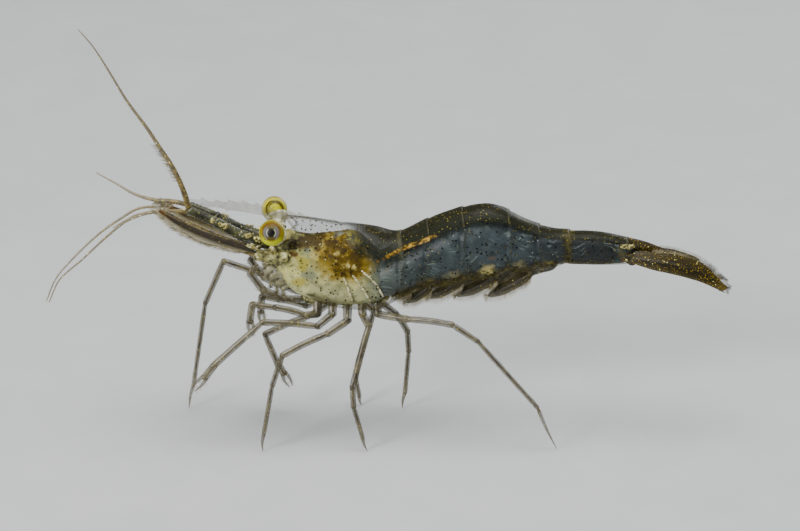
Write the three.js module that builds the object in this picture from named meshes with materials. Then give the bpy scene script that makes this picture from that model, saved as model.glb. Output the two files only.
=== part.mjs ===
// A freshwater glass shrimp (family Palaemonidae) standing on its six walking legs, life size.
// Millimetres, +Z up, head towards -X, left side towards -Y, feet on Z = 0.
import * as THREE from 'three';
import { mergeVertices } from 'three/addons/utils/BufferGeometryUtils.js';

// ---- driving dimensions, in millimetres -------------------------------------------------
const GAP = 0.16; // clearance between neighbouring shell pieces
const THINNEST = 0.26; // radius below which no leg or feeler goes
const TRUNK_SIDES = 20; // facets round the body
const LIMB_SIDES = 6; // facets round a leg or feeler
const NOTCH = 0.12; // where the gap between two fingers ends, as a share of their length

const EYE_RADIUS = 1.08;
const EYE_SPREAD = 2.25; // midline to the middle of an eye
const STALK_RADIUS = [0.5, 0.62, 0.78];

const SHELL_LEAN = 0.32; // how far a plate's hind edge bows back at mid height
const PLEURON_RISE = 0.3; // how far a side plate's lower edge curves up at its ends
const PLATE_TUCK = 0.04; // how much narrower a ring is where it slides under the one before

// The trunk from the eye sockets to the tail, in the animal's midplane. back is the height of the
// dorsal line, hem that of the side plates' lower edge, belly that of the underside between them,
// and half the half width.
const TRUNK = [
  { x: -9.2, back: 18.6, hem: 12.8, belly: 13.5, half: 1.25 },
  { x: -7.2, back: 18.35, hem: 11.75, belly: 12.5, half: 1.9 },
  { x: -4.8, back: 17.95, hem: 11.35, belly: 12.15, half: 2.35 },
  { x: -2.0, back: 17.5, hem: 11.35, belly: 12.15, half: 2.5 },
  { x: -0.2, back: 17.1, hem: 12.1, belly: 12.7, half: 2.35 },
  { x: 1.6, back: 17.9, hem: 12.9, belly: 13.6, half: 2.3 },
  { x: 4.0, back: 18.9, hem: 13.3, belly: 14.2, half: 2.3 },
  { x: 6.8, back: 19.5, hem: 13.75, belly: 14.75, half: 2.12 },
  { x: 8.2, back: 19.15, hem: 14.05, belly: 14.95, half: 1.95 },
  { x: 9.8, back: 18.3, hem: 14.3, belly: 15.05, half: 1.72 },
  { x: 11.4, back: 17.6, hem: 14.5, belly: 15.05, half: 1.48 },
  { x: 13.4, back: 17.25, hem: 14.68, belly: 14.98, half: 1.26 },
  { x: 16.0, back: 17.1, hem: 14.66, belly: 14.85, half: 1.16 },
  { x: 18.0, back: 16.6, hem: 14.6, belly: 14.75, half: 1.05 },
];
const CARAPACE = { from: -9.1, to: -0.2, rows: 11 };
const RING_EDGES = [-0.2, 1.9, 4.7, 8.4, 10.8, 13.2, 17.9]; // the joints of the six abdomen rings
const RING_ROWS = [4, 5, 6, 4, 4, 5];

// ---- helpers ----------------------------------------------------------------------------
function weld(geometry) {
  geometry.deleteAttribute('normal');
  geometry.deleteAttribute('uv');
  return mergeVertices(geometry, 1e-4);
}

// A closed skin over a row of rings: place(ring, turn, onRim) gives each point its place.
function closedSkin(sides, rings, place) {
  const skin = new THREE.CylinderGeometry(1, 1, rings - 1, sides, rings - 1);
  const points = skin.getAttribute('position');
  for (let i = 0; i < points.count; i += 1) {
    const across = points.getX(i);
    const up = points.getZ(i);
    const ring = Math.round(points.getY(i) + (rings - 1) / 2);
    const spot = place(ring, Math.atan2(across, up), Math.hypot(across, up) > 0.5);
    points.setXYZ(i, spot.x, spot.y, spot.z);
  }
  return weld(skin);
}

// A closed skin round a line of stations, each an oval of half sizes wide and deep. A last station
// with a fork is drawn out into two points, left and right of a notch at the station before it.
function limb(stations, sides = LIMB_SIDES, flatTo = new THREE.Vector3(0, 0, 1)) {
  const frames = stations.map((station, i) => {
    const before = stations[Math.max(0, i - 1)].at;
    const after = stations[Math.min(stations.length - 1, i + 1)].at;
    const along = (station.along ?? after.clone().sub(before)).clone().normalize();
    const guide = Math.abs(along.dot(flatTo)) > 0.9 ? new THREE.Vector3(-1, 0, 0) : flatTo;
    const across = along.clone().cross(guide).normalize();
    return { across, up: across.clone().cross(along) };
  });
  return closedSkin(sides, stations.length, (ring, turn, onRim) => {
    const { at, wide, deep, fork } = stations[ring];
    const { across, up } = frames[ring];
    const [x, z] = [Math.sin(turn), Math.cos(turn)];
    const notch = fork && stations[ring - 1].at.clone().lerp(at, NOTCH);
    if (!onRim) return notch ?? at;
    if (fork && Math.abs(x) < 0.5) return notch.addScaledVector(up, z * stations[ring - 1].deep);
    return at
      .clone()
      .addScaledVector(across, x * wide + Math.sign(x) * (fork ?? 0))
      .addScaledVector(up, z * deep);
  });
}

// A smooth value between the rows of a table, by the table's own x.
function between(table, x, key) {
  const last = table.length - 1;
  const i = Math.min(last - 1, Math.max(0, table.findIndex((row) => row.x > x) - 1));
  const near = x >= table[last].x ? last - 1 : i;
  const slope = (k) => {
    const low = table[Math.max(0, k - 1)];
    const high = table[Math.min(last, k + 1)];
    return (high[key] - low[key]) / (high.x - low.x);
  };
  const [a, b] = [table[near], table[near + 1]];
  const span = b.x - a.x;
  const t = (x - a.x) / span;
  const rise = a[key] * (2 * t ** 3 - 3 * t ** 2 + 1) + b[key] * (3 * t ** 2 - 2 * t ** 3);
  return rise + span * (slope(near) * (t ** 3 - 2 * t ** 2 + t) + slope(near + 1) * (t ** 3 - t ** 2));
}

const vector = ([x, y, z]) => new THREE.Vector3(x, y, z);

// ---- the trunk --------------------------------------------------------------------------
// A point of the cross section at x: a quarter of an oval from the midline of the back to the
// widest place, then steps down the side plate, in under its hem and over to the belly.
const ARCH_STEPS = TRUNK_SIDES / 4;
function sectionPoint(x, turn, tuck, hemRise) {
  const back = between(TRUNK, x, 'back');
  const hem = between(TRUNK, x, 'hem') + hemRise;
  const belly = between(TRUNK, x, 'belly');
  const half = between(TRUNK, x, 'half') * (1 - tuck);
  const middle = (back + hem) / 2;
  const step = Math.round((Math.abs(turn) / Math.PI) * (TRUNK_SIDES / 2));
  const top = back - tuck * (back - middle);
  const under = [
    [0.99, middle - 0.5 * (middle - hem)],
    [0.93, hem + 0.1],
    [0.82, hem],
    [0.5, belly],
    [0, belly],
  ];
  const angle = (step / ARCH_STEPS) * (Math.PI / 2);
  const [y, z] = step <= ARCH_STEPS
    ? [Math.sin(angle), middle + (top - middle) * Math.cos(angle)]
    : under[step - ARCH_STEPS - 1];
  return { y: -Math.sign(turn) * y * half, z, level: (z - middle) / (back - middle) };
}

const bowed = (level) => SHELL_LEAN * (1 - Math.min(1, level * level));

// The front edge of the carapace: a notch for each eye, the spine under it, and a cheek that
// slopes back to the hem.
function socketed(level) {
  const notch = 0.75 * Math.exp(-(((level - 0.62) / 0.2) ** 2));
  const spine = -0.35 * Math.exp(-(((level - 0.2) / 0.12) ** 2));
  const cheek = 0.9 * Math.max(0, -level) ** 1.5;
  return notch + spine + cheek;
}

function trunkLength(from, to, rows, frontEdge, hemRise) {
  const start = from + GAP / 2;
  const length = to - GAP / 2 - start;
  return closedSkin(TRUNK_SIDES, rows + 1, (ring, turn, onRim) => {
    const t = ring / rows;
    const x = start + t * length;
    const tuck = PLATE_TUCK * (1 - Math.sqrt(t));
    const spot = sectionPoint(x, turn, tuck, hemRise(t));
    const { back, hem } = { back: between(TRUNK, x, 'back'), hem: between(TRUNK, x, 'hem') };
    const level = onRim ? spot.level : 0;
    const edge = (1 - t) * frontEdge(level) + t * bowed(level);
    if (!onRim) return new THREE.Vector3(x + edge, 0, (back + hem) / 2);
    return new THREE.Vector3(x + edge, spot.y, spot.z);
  });
}

const carapace = () =>
  trunkLength(CARAPACE.from, CARAPACE.to, CARAPACE.rows, socketed, () => 0);

function abdomenRing(index) {
  const rise = (t) => PLEURON_RISE * (2 * t - 1) ** 2 * (index === 5 ? 0.3 : 1);
  return trunkLength(RING_EDGES[index], RING_EDGES[index + 1], RING_ROWS[index], bowed, rise);
}

// The keel of the breast, between the legs' roots.
function breastPlate() {
  const [front, rear, height] = [-8.0, -0.9, 11.42];
  const widths = [0.35, 0.62, 0.74, 0.76, 0.78, 0.78, 0.76, 0.62];
  const stations = widths.map((wide, i) => {
    const x = front + ((rear - front) * i) / (widths.length - 1);
    return { at: vector([x, 0, height]), wide, deep: 0.45 };
  });
  return limb(stations, 8);
}

// ---- head -------------------------------------------------------------------------------
// The beak over the eyes: an arched blade with a row of teeth above and two below.
function beak() {
  const [root, tip] = [-9.35, -16.9];
  const thick = 0.5;
  const teeth = 6;
  const toothHeight = 0.2;
  const crest = (x) => 18.72 + 0.95 * Math.sin((Math.PI / 2) * Math.min(1, (root - x) / 4.2));
  const keel = (x) => 18.12 + 1.45 * ((root - x) / (root - tip)) ** 0.9;
  const outline = new THREE.Shape();
  outline.moveTo(root, keel(root));
  outline.lineTo(root, crest(root));
  for (let i = 1; i <= teeth; i += 1) {
    const heel = root + ((tip - root) * 0.86 * (i - 0.35)) / teeth;
    const point = root + ((tip - root) * 0.86 * i) / teeth;
    outline.lineTo(heel, crest(heel));
    outline.lineTo(point, crest(point) + toothHeight);
  }
  outline.lineTo(tip, 19.95);
  for (const share of [0.8, 0.6]) {
    const point = root + (tip - root) * share;
    outline.lineTo(point - 0.1, keel(point) - 0.12);
    outline.lineTo(point + 0.45, keel(point + 0.45));
  }
  const blade = new THREE.ExtrudeGeometry(outline, { depth: thick, bevelEnabled: false });
  blade.rotateX(Math.PI / 2);
  blade.translate(0, thick / 2, 0);
  return weld(blade);
}

// The front of the head between the eye stalks, which carries both pairs of feelers.
const forehead = () =>
  limb([
    { at: vector([-9.25, 0, 16.1]), wide: 0.7, deep: 0.9 },
    { at: vector([-9.7, 0, 16.2]), wide: 0.8, deep: 1.1 },
    { at: vector([-10.2, 0, 16.3]), wide: 0.78, deep: 1.05 },
    { at: vector([-10.85, 0, 16.4]), wide: 0.6, deep: 0.75 },
  ], 8);

const EYES = {
  left: vector([-10.2, -EYE_SPREAD, 17.9]),
  right: vector([-10.05, EYE_SPREAD, 18.15]),
};

function eye(side) {
  const ball = new THREE.SphereGeometry(EYE_RADIUS, 14, 9);
  ball.rotateX(Math.PI / 2);
  ball.translate(...EYES[side].toArray());
  return weld(ball);
}

function eyeStalk(side) {
  const centre = EYES[side];
  const root = vector([-9.55, Math.sign(centre.y) * 0.95, 17.2]);
  const outward = centre.clone().sub(root);
  const reach = (outward.length() - EYE_RADIUS - GAP / 4) / outward.length();
  const stations = STALK_RADIUS.map((radius, i) => ({
    at: root.clone().addScaledVector(outward, (reach * i) / (STALK_RADIUS.length - 1)),
    wide: radius,
    deep: radius,
    along: outward,
  }));
  return limb(stations, 8, new THREE.Vector3(-1, 0, 0));
}

// Jaws and the first two pairs of mouth limbs, held together under the head, left and right of a
// groove down the front.
function mouthParts() {
  const [top, bottom, x] = [15.0, 12.3, -10.0];
  const girth = [0.62, 0.95, 0.86, 1, 0.92, 0.5];
  return closedSkin(12, girth.length, (ring, turn, onRim) => {
    const share = ring / (girth.length - 1);
    const height = top + (bottom - top) * share;
    const lean = 0.25 * Math.sin(Math.PI * share) - 0.35 * (1 - share);
    if (!onRim) return new THREE.Vector3(x + lean, 0, height);
    const [side, forward] = [Math.sin(turn), Math.cos(turn)];
    const groove = 1 - 0.3 * Math.exp(-((side / 0.3) ** 2)) * Math.max(0, forward);
    return new THREE.Vector3(
      x + lean - forward * 0.85 * girth[ring] * groove,
      side * 1.0 * girth[ring],
      height,
    );
  });
}

// ---- legs and feelers -------------------------------------------------------------------
// A jointed limb: every length starts narrow at its joint and is widest before the next one.
function jointed(points, radii, sides = LIMB_SIDES) {
  const joints = points.map(vector);
  const stations = [];
  for (let i = 0; i < joints.length - 1; i += 1) {
    const [start, end] = [joints[i], joints[i + 1]];
    const radius = radii[i];
    const at = (share) => start.clone().lerp(end, share);
    const size = (factor) => {
      const r = Math.max(THINNEST, radius * factor);
      return { wide: r, deep: r };
    };
    stations.push({ at: at(0), ...size(0.8) });
    stations.push({ at: at(0.14), ...size(0.95) });
    stations.push({ at: at(0.84), ...size(1) });
  }
  const foot = joints[joints.length - 1];
  stations.push({ at: foot, wide: THINNEST, deep: THINNEST });
  return { stations, sides };
}

// A walking leg ends in a claw that comes straight down on a small flat.
function walkingLeg(points, radii) {
  const { stations, sides } = jointed(points, radii);
  stations[stations.length - 1].along = new THREE.Vector3(0, 0, -1);
  return limb(stations, sides);
}

// A pincer leg ends in a palm with two fingers, whose tips stand gape apart.
function pincerLeg(points, radii, gape) {
  const { stations, sides } = jointed(points.slice(0, -1), radii);
  const [palmEnd, tip] = points.slice(-2).map(vector);
  const palm = radii[radii.length - 1];
  stations[stations.length - 1] = { at: palmEnd, wide: palm, deep: palm * 0.8 };
  stations.push({ at: tip, wide: 0.12, deep: 0.12, fork: gape / 2 + 0.06 });
  return limb(stations, sides, new THREE.Vector3(0, 1, 0));
}

// A smooth round feeler through a few points.
function feeler(points, rootRadius, tipRadius, steps) {
  const curve = new THREE.CatmullRomCurve3(points.map(vector), false, 'centripetal');
  const stations = Array.from({ length: steps + 1 }, (_, i) => {
    const t = i / steps;
    const radius = rootRadius + (tipRadius - rootRadius) * t;
    return { at: curve.getPointAt(t), along: curve.getTangentAt(t), wide: radius, deep: radius };
  });
  return limb(stations);
}

// A thin leaf-shaped blade along a few points. tilt lifts its outer edge, in degrees.
const LEAF = [0.4, 0.78, 0.96, 1, 0.9, 0.66, 0.28];
function blade(points, halfWidth, halfThick, side, tilt) {
  const curve = new THREE.CatmullRomCurve3(points.map(vector), false, 'centripetal');
  const lift = THREE.MathUtils.degToRad(tilt);
  const face = new THREE.Vector3(0, -side * Math.sin(lift), Math.cos(lift));
  const stations = LEAF.map((share, i) => {
    const t = i / (LEAF.length - 1);
    const at = curve.getPointAt(t);
    return { at, along: curve.getTangentAt(t), wide: halfWidth * share, deep: halfThick };
  });
  return limb(stations, 8, face);
}

// A swimmeret: a short stem that carries two leaves, cut as one outline and laid along its path.
const SWIMMERET = { thick: 0.5, stem: 0.26, leaf: 0.27, spread: 0.3, inner: 0.84 };
function swimmeret({ root, bend, tip, out }, side) {
  const { thick, stem, leaf, spread, inner } = SWIMMERET;
  const path = [root, bend, tip].map(([x, z]) => new THREE.Vector3(x, side * out, z));
  const stemLength = path[0].distanceTo(path[1]);
  const length = stemLength + path[1].distanceTo(path[2]);
  const leafLine = (middle, reach, way) =>
    [[0.12, 0.75], [0.4, 1], [0.75, 0.8], [1, 0.3]].map(([share, width]) => [
      stemLength + reach * share,
      middle * (0.55 + 0.45 * Math.min(1, share * 2)) + way * width * leaf,
    ]);
  const reach = length - stemLength;
  const outline = [
    [0, -stem],
    ...leafLine(-spread, reach, -1),
    ...leafLine(-spread, reach, 1).reverse(),
    ...leafLine(spread, reach * inner, -1),
    ...leafLine(spread, reach * inner, 1).reverse(),
    [0, stem],
  ];
  const shape = new THREE.Shape(outline.map(([x, y]) => new THREE.Vector2(x, y)));
  const sheet = new THREE.ExtrudeGeometry(shape, { depth: thick, bevelEnabled: false });
  const points = sheet.getAttribute('position');
  const across = new THREE.Vector3(0, 1, 0);
  for (let i = 0; i < points.count; i += 1) {
    const run = points.getX(i);
    const onStem = run <= stemLength;
    const [from, to] = onStem ? [path[0], path[1]] : [path[1], path[2]];
    const along = to.clone().sub(from).normalize();
    const spot = from
      .clone()
      .addScaledVector(along, onStem ? run : run - stemLength)
      .addScaledVector(across, points.getY(i))
      .addScaledVector(along.clone().cross(across), points.getZ(i) - thick / 2);
    points.setXYZ(i, spot.x, spot.y, spot.z);
  }
  return weld(sheet);
}

// Roots of the five pairs of legs, along the breast.
const LEG_ROOTS = [-6.6, -5.4, -4.2, -3.0, -1.8];
const ROOT_OUT = 0.98;
const ROOT_HEIGHT = 11.35;
const COXA_OUT = [1.5, 1.5, 2.15, 1.5, 1.5];
const COXA_HEIGHT = [10.6, 10.6, 10.3, 10.6, 10.6];

const LEG_RADII = [0.44, 0.36, 0.34, 0.3, 0.27, 0.26];

// What a leg does past its second joint: knee, ankle and so on to the tip.
const LEGS = {
  1: {
    left: [
      [-7.6, -2.1, 10.75], [-10.0, -2.3, 11.5], [-11.8, -2.3, 11.75], [-12.0, -2.3, 10.3],
      [-11.8, -2.2, 8.9],
    ],
    right: [
      [-7.6, 2.0, 9.9], [-9.8, 2.3, 10.3], [-11.1, 2.3, 10.6], [-11.2, 2.2, 9.3],
      [-11.0, 2.1, 8.1],
    ],
  },
  2: {
    left: [
      [-6.6, -2.4, 9.9], [-11.0, -3.0, 10.5], [-14.8, -3.6, 7.1], [-15.6, -3.6, 6.0],
      [-16.6, -3.5, 4.8],
    ],
    right: [[-7.0, 2.3, 9.0], [-10.9, 3.2, 6.9], [-9.9, 3.6, 4.2], [-9.4, 3.7, 3.3], [-8.8, 3.7, 2.1]],
  },
  3: {
    left: [
      [-5.8, -3.0, 9.5], [-9.4, -4.9, 8.4], [-10.2, -5.1, 5.9], [-10.9, -4.8, 1.6],
      [-11.0, -4.7, 0],
    ],
    right: [
      [-8.6, 3.1, 11.1], [-14.2, 3.6, 13.1], [-15.7, 4.0, 9.3], [-16.7, 4.1, 2.2], [-17.1, 4.1, 0],
    ],
  },
  4: {
    left: [
      [-2.5, -2.6, 10.0], [-3.8, -4.3, 5.4], [-3.7, -4.6, 3.8], [-3.0, -4.6, 1.2], [-2.6, -4.6, 0],
    ],
    right: [[-2.1, 2.6, 9.2], [-3.4, 4.6, 3.7], [-3.6, 5.1, 2.2], [-3.3, 4.9, 0.8], [-3.1, 4.8, 0]],
  },
  5: {
    left: [[0.6, -2.6, 10.6], [4.2, -3.8, 10.6], [6.2, -4.3, 9.4], [11.0, -4.4, 3.7], [12.6, -4.3, 0]],
    right: [[-0.3, 2.6, 8.9], [0.6, 3.6, 7.0], [0.7, 4.0, 5.1], [0.4, 4.2, 1.4], [0.2, 4.2, 0]],
  },
};

function leg(number, side) {
  const out = side === 'left' ? -1 : 1;
  const root = LEG_ROOTS[number - 1];
  const points = [
    [root, out * ROOT_OUT, ROOT_HEIGHT],
    [root, out * COXA_OUT[number - 1], COXA_HEIGHT[number - 1]],
    ...LEGS[number][side],
  ];
  if (number > 2) return walkingLeg(points, LEG_RADII);
  const palm = number === 1 ? 0.34 : 0.36;
  return pincerLeg(points, [...LEG_RADII.slice(0, 4), palm], number === 1 ? 0.08 : 0.2);
}

// ---- assembly ---------------------------------------------------------------------------
const finish = (color, roughness) =>
  new THREE.MeshStandardMaterial({ color, roughness, metalness: 0 });
const shellFinish = finish(0x6f7f86, 0.35);
const chestFinish = finish(0xb9a878, 0.4);
const limbFinish = finish(0x9c9a86, 0.45);
const tailFinish = finish(0x8d7a2e, 0.4);
const feelerFinish = finish(0xb8b09a, 0.5);
const eyeFinish = finish(0xd6b73a, 0.2);

const shrimp = new THREE.Group();
shrimp.name = 'shrimp';

function add(name, geometry, material) {
  const mesh = new THREE.Mesh(geometry, material.clone());
  mesh.name = name;
  shrimp.add(mesh);
}

add('carapace', carapace(), chestFinish);
for (let i = 0; i < RING_ROWS.length; i += 1) {
  add(`somite_${i + 1}`, abdomenRing(i), shellFinish);
}
add('breast_plate', breastPlate(), chestFinish);
add('rostrum', beak(), shellFinish);
add('forehead', forehead(), chestFinish);
add('mouthparts', mouthParts(), chestFinish);

// Telson, the middle plate of the tail fan.
add('telson', limb([
  { at: vector([18.45, 0, 16.0]), wide: 0.62, deep: 0.36 },
  { at: vector([19.4, 0, 15.8]), wide: 0.6, deep: 0.34 },
  { at: vector([21.0, 0, 15.3]), wide: 0.46, deep: 0.28 },
  { at: vector([22.4, 0, 14.85]), wide: 0.28, deep: 0.25 },
], 8), tailFinish);

// How far the outer edges of the tail fan's blades and of the antennal scales are raised, in
// degrees. The fan is folded, so its blades hang down at the sides like the slopes of a roof.
const FAN_TILT = -60;
const SCALE_TILT = 48;
const FEELERS = {
  left: {
    stem: [[-11.1, -0.62, 16.4], [-12.8, -0.66, 17.1], [-14.7, -0.68, 18.2], [-16.7, -0.7, 19.2]],
    outer: [
      [-16.95, -0.72, 19.45], [-17.15, -0.95, 20.7], [-17.6, -1.3, 22.1], [-18.2, -1.6, 23.5],
      [-19.0, -1.8, 24.9],
    ],
    outerTip: [
      [-19.1, -1.83, 25.05], [-20.0, -2.1, 26.7], [-21.6, -2.4, 29.2], [-23.2, -2.7, 32.2],
      [-24.3, -2.9, 34.1], [-25.4, -3.0, 35.5],
    ],
    inner: [
      [-16.95, -0.62, 19.0], [-18.4, -0.62, 19.1], [-20.2, -0.7, 18.9], [-21.8, -0.85, 18.3],
      [-23.2, -1.1, 17.4],
    ],
    socket: [[-9.2, -1.45, 15.55], [-10.2, -1.7, 15.6], [-11.2, -1.75, 15.75]],
    scale: [[-11.4, -2.05, 16.15], [-15.2, -2.5, 17.6], [-17.4, -2.62, 18.7], [-19.2, -2.7, 20.05]],
    whip: [[-11.45, -1.35, 15.55], [-14.0, -1.35, 16.5], [-17.0, -1.4, 18.35], [-19.4, -1.5, 19.75]],
    whipTip: [
      [-19.55, -1.52, 19.8], [-20.8, -1.65, 19.75], [-22.0, -1.9, 19.15], [-24.0, -2.3, 17.8],
      [-26.0, -2.9, 16.0], [-27.4, -3.3, 14.4], [-28.2, -3.5, 12.5],
    ],
  },
  right: {
    stem: [[-11.1, 0.62, 16.4], [-12.8, 0.66, 17.1], [-14.7, 0.68, 18.15], [-16.6, 0.7, 19.05]],
    outer: [
      [-16.85, 0.75, 19.2], [-18.3, 1.2, 19.25], [-19.6, 1.6, 19.2], [-21.2, 2.2, 19.45],
      [-22.8, 3.0, 20.1], [-24.4, 3.8, 20.7],
    ],
    inner: [
      [-16.85, 0.56, 18.66], [-18.4, 0.58, 18.68], [-20.2, 0.7, 18.4], [-21.8, 0.85, 17.8],
      [-23.0, 1.0, 17.0],
    ],
    socket: [[-9.2, 1.45, 15.4], [-10.2, 1.7, 15.4], [-11.2, 1.75, 15.5]],
    scale: [[-11.4, 2.05, 15.65], [-15.0, 2.5, 16.7], [-17.2, 2.55, 17.5], [-18.9, 2.6, 18.45]],
    whip: [[-11.45, 1.35, 15.2], [-14.0, 1.35, 16.0], [-17.0, 1.35, 17.4], [-19.5, 1.4, 18.2]],
    whipTip: [
      [-19.65, 1.42, 18.22], [-20.8, 1.5, 18.0], [-21.8, 1.8, 17.4], [-23.6, 2.2, 15.7],
      [-25.6, 2.8, 13.5], [-27.4, 3.3, 11.6], [-28.3, 3.5, 9.5],
    ],
  },
};
const SWIMMERETS = [
  { root: [1.5, 12.95], bend: [0.8, 12.6], tip: [-0.5, 12.05], out: 0.75 },
  { root: [3.4, 13.55], bend: [2.45, 12.85], tip: [0.4, 11.55], out: 0.95 },
  { root: [6.2, 14.2], bend: [5.0, 13.4], tip: [2.2, 11.95], out: 0.98 },
  { root: [9.2, 14.5], bend: [7.8, 13.7], tip: [4.4, 12.1], out: 0.9 },
  { root: [12.2, 14.5], bend: [10.4, 13.9], tip: [7.0, 12.0], out: 0.78 },
];
// The midlines of the tail fan's blades. The right half of the fan is folded a little lower.
const FAN = {
  left: {
    exopod: [[18.45, -1.02, 15.15], [21.4, -1.48, 14.78], [24.0, -1.55, 14.05], [26.2, -1.5, 12.9]],
    endopod: [[18.45, -0.36, 15.3], [21.3, -0.75, 14.8], [24.9, -0.75, 13.85]],
  },
  right: {
    exopod: [[18.45, 1.02, 15.1], [21.4, 1.4, 14.4], [24.0, 1.4, 13.45], [26.0, 1.3, 12.4]],
    endopod: [[18.45, 0.36, 15.3], [21.3, 0.7, 14.65], [24.7, 0.65, 13.6]],
  },
};

for (const side of ['left', 'right']) {
  const out = side === 'left' ? -1 : 1;
  const mirror = ([x, y, z]) => [x, out * y, z];
  const { stem, outer, outerTip, inner, socket, scale, whip, whipTip } = FEELERS[side];

  add(`eye_${side}`, eye(side), eyeFinish);
  add(`eyestalk_${side}`, eyeStalk(side), chestFinish);

  const stemJoints = jointed(stem, [0.5, 0.46, 0.4]);
  stemJoints.stations[stemJoints.stations.length - 1].wide = 0.36;
  stemJoints.stations[stemJoints.stations.length - 1].deep = 0.36;
  add(`antennule_stem_${side}`, limb(stemJoints.stations, 8), limbFinish);
  add(`antennule_outer_${side}`, feeler(outer, 0.33, 0.27, 9), feelerFinish);
  if (outerTip) add(`antennule_outer_tip_${side}`, feeler(outerTip, 0.27, THINNEST, 9), feelerFinish);
  add(`antennule_inner_${side}`, feeler(inner, THINNEST, THINNEST, 7), feelerFinish);

  const socketStations = socket.map((at, i) => {
    const radius = [0.45, 0.62, 0.5][i];
    return { at: vector(at), wide: radius, deep: radius };
  });
  add(`antenna_base_${side}`, limb(socketStations, 8), limbFinish);
  add(`antenna_scale_${side}`, blade(scale, 0.9, 0.25, out, SCALE_TILT), limbFinish);
  add(`antenna_flagellum_${side}`, feeler(whip, 0.3, THINNEST, 8), feelerFinish);
  add(`antenna_flagellum_tip_${side}`, feeler(whipTip, THINNEST, THINNEST, 12), feelerFinish);

  // The third maxilliped folds up under the mouth.
  const jaw = [
    [-7.95, 0.75, 11.6], [-9.3, 1.3, 11.85], [-10.9, 1.45, 12.6], [-12.0, 1.4, 14.1],
    [-11.3, 1.2, 14.75],
  ];
  const jawJoints = jointed(jaw.map(mirror), [0.32, 0.34, 0.34, 0.3]);
  add(`maxilliped_${side}`, limb(jawJoints.stations), limbFinish);

  for (let number = 1; number <= 5; number += 1) {
    add(`leg_${number}_${side}`, leg(number, side), limbFinish);
  }

  SWIMMERETS.forEach((placing, i) => {
    add(`swimmeret_${i + 1}_${side}`, swimmeret(placing, out), tailFinish);
  });

  const { exopod, endopod } = FAN[side];
  add(`uropod_outer_${side}`, blade(exopod, 0.85, 0.25, out, FAN_TILT), tailFinish);
  add(`uropod_inner_${side}`, blade(endopod, 0.42, 0.25, out, FAN_TILT), tailFinish);
}

// The origin is under the middle of the whole animal, on the floor.
const box = new THREE.Box3().setFromObject(shrimp);
shrimp.position.set(-(box.min.x + box.max.x) / 2, 0, -box.min.z);

export default shrimp;
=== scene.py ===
import math
import random
from bisect import bisect_right

import bmesh
import bpy
from mathutils import Matrix, Vector, noise
from mathutils.geometry import interpolate_bezier


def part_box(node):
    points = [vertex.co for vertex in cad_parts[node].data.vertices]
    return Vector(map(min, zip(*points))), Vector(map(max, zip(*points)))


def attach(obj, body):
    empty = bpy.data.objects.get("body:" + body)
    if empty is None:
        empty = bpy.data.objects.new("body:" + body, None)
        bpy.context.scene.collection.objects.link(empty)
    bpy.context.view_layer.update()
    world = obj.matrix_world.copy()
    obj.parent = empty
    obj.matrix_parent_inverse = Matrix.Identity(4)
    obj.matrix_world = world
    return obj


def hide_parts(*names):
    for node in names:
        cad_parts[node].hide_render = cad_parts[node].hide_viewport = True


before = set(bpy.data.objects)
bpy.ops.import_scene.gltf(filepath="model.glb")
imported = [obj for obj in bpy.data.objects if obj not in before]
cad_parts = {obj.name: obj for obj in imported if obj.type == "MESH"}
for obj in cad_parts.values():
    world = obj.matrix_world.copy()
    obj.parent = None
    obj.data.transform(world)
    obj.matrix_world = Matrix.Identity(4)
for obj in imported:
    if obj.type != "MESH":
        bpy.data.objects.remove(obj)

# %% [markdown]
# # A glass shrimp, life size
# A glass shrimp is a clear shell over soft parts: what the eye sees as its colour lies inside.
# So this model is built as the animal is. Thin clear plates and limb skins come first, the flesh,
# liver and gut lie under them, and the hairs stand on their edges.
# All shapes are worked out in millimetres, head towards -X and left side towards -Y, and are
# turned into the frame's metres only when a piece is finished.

MM = 0.001
TAU = 2 * math.pi
SIDES = {"left": -1, "right": 1}
UP = Vector((0, 0, 1))
RIGHT = Vector((0, 1, 0))

EYES = {"left": Vector((-10.2, -2.25, 17.9)), "right": Vector((-10.05, 2.25, 18.15))}
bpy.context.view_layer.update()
low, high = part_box("eye_left")
EYE_RADIUS = (high.z - low.z) / 2 / MM
SHIFT = (low.x + high.x) / 2 / MM - EYES["left"].x
TO_ROW = Matrix.Scale(MM, 4) @ Matrix.Translation((SHIFT, 0, 0))
print(f"eye radius {EYE_RADIUS:.2f} mm, model shifted {SHIFT:.3f} mm along the body")

# %% [markdown]
# ## Camera and light
# The camera looks across the left side from 22 degrees above the floor. Its lens is long, so that
# the near legs don't look larger than the far ones. Three soft boxes stand round the model: a wide
# one overhead, a small one in front on the left that draws the gloss, and a faint one behind that
# lights the far edges and is weak enough not to glare through the clear shell.

# %% Camera
ELEVATION = math.radians(22)
SEEN_WIDTH = 64.0  # how wide a stretch the camera sees at the shrimp
AIM_HEIGHT = 14.19
LENS = 400.0
SENSOR = 36.0

aim = TO_ROW @ Vector((0, 0, AIM_HEIGHT))
reach = SEEN_WIDTH * MM * LENS / SENSOR
to_camera = Vector((0, -math.cos(ELEVATION), math.sin(ELEVATION)))
camera = bpy.data.objects.new("camera", bpy.data.cameras.new("camera"))
camera.data.lens = LENS
camera.data.sensor_width = SENSOR
camera.data.clip_start = 0.01
camera.location = aim + to_camera * reach
camera.rotation_euler = to_camera.to_track_quat("Z", "Y").to_euler()
bpy.context.scene.collection.objects.link(camera)
bpy.context.scene.camera = camera
print(f"camera {reach:.3f} m from the shrimp")

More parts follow.
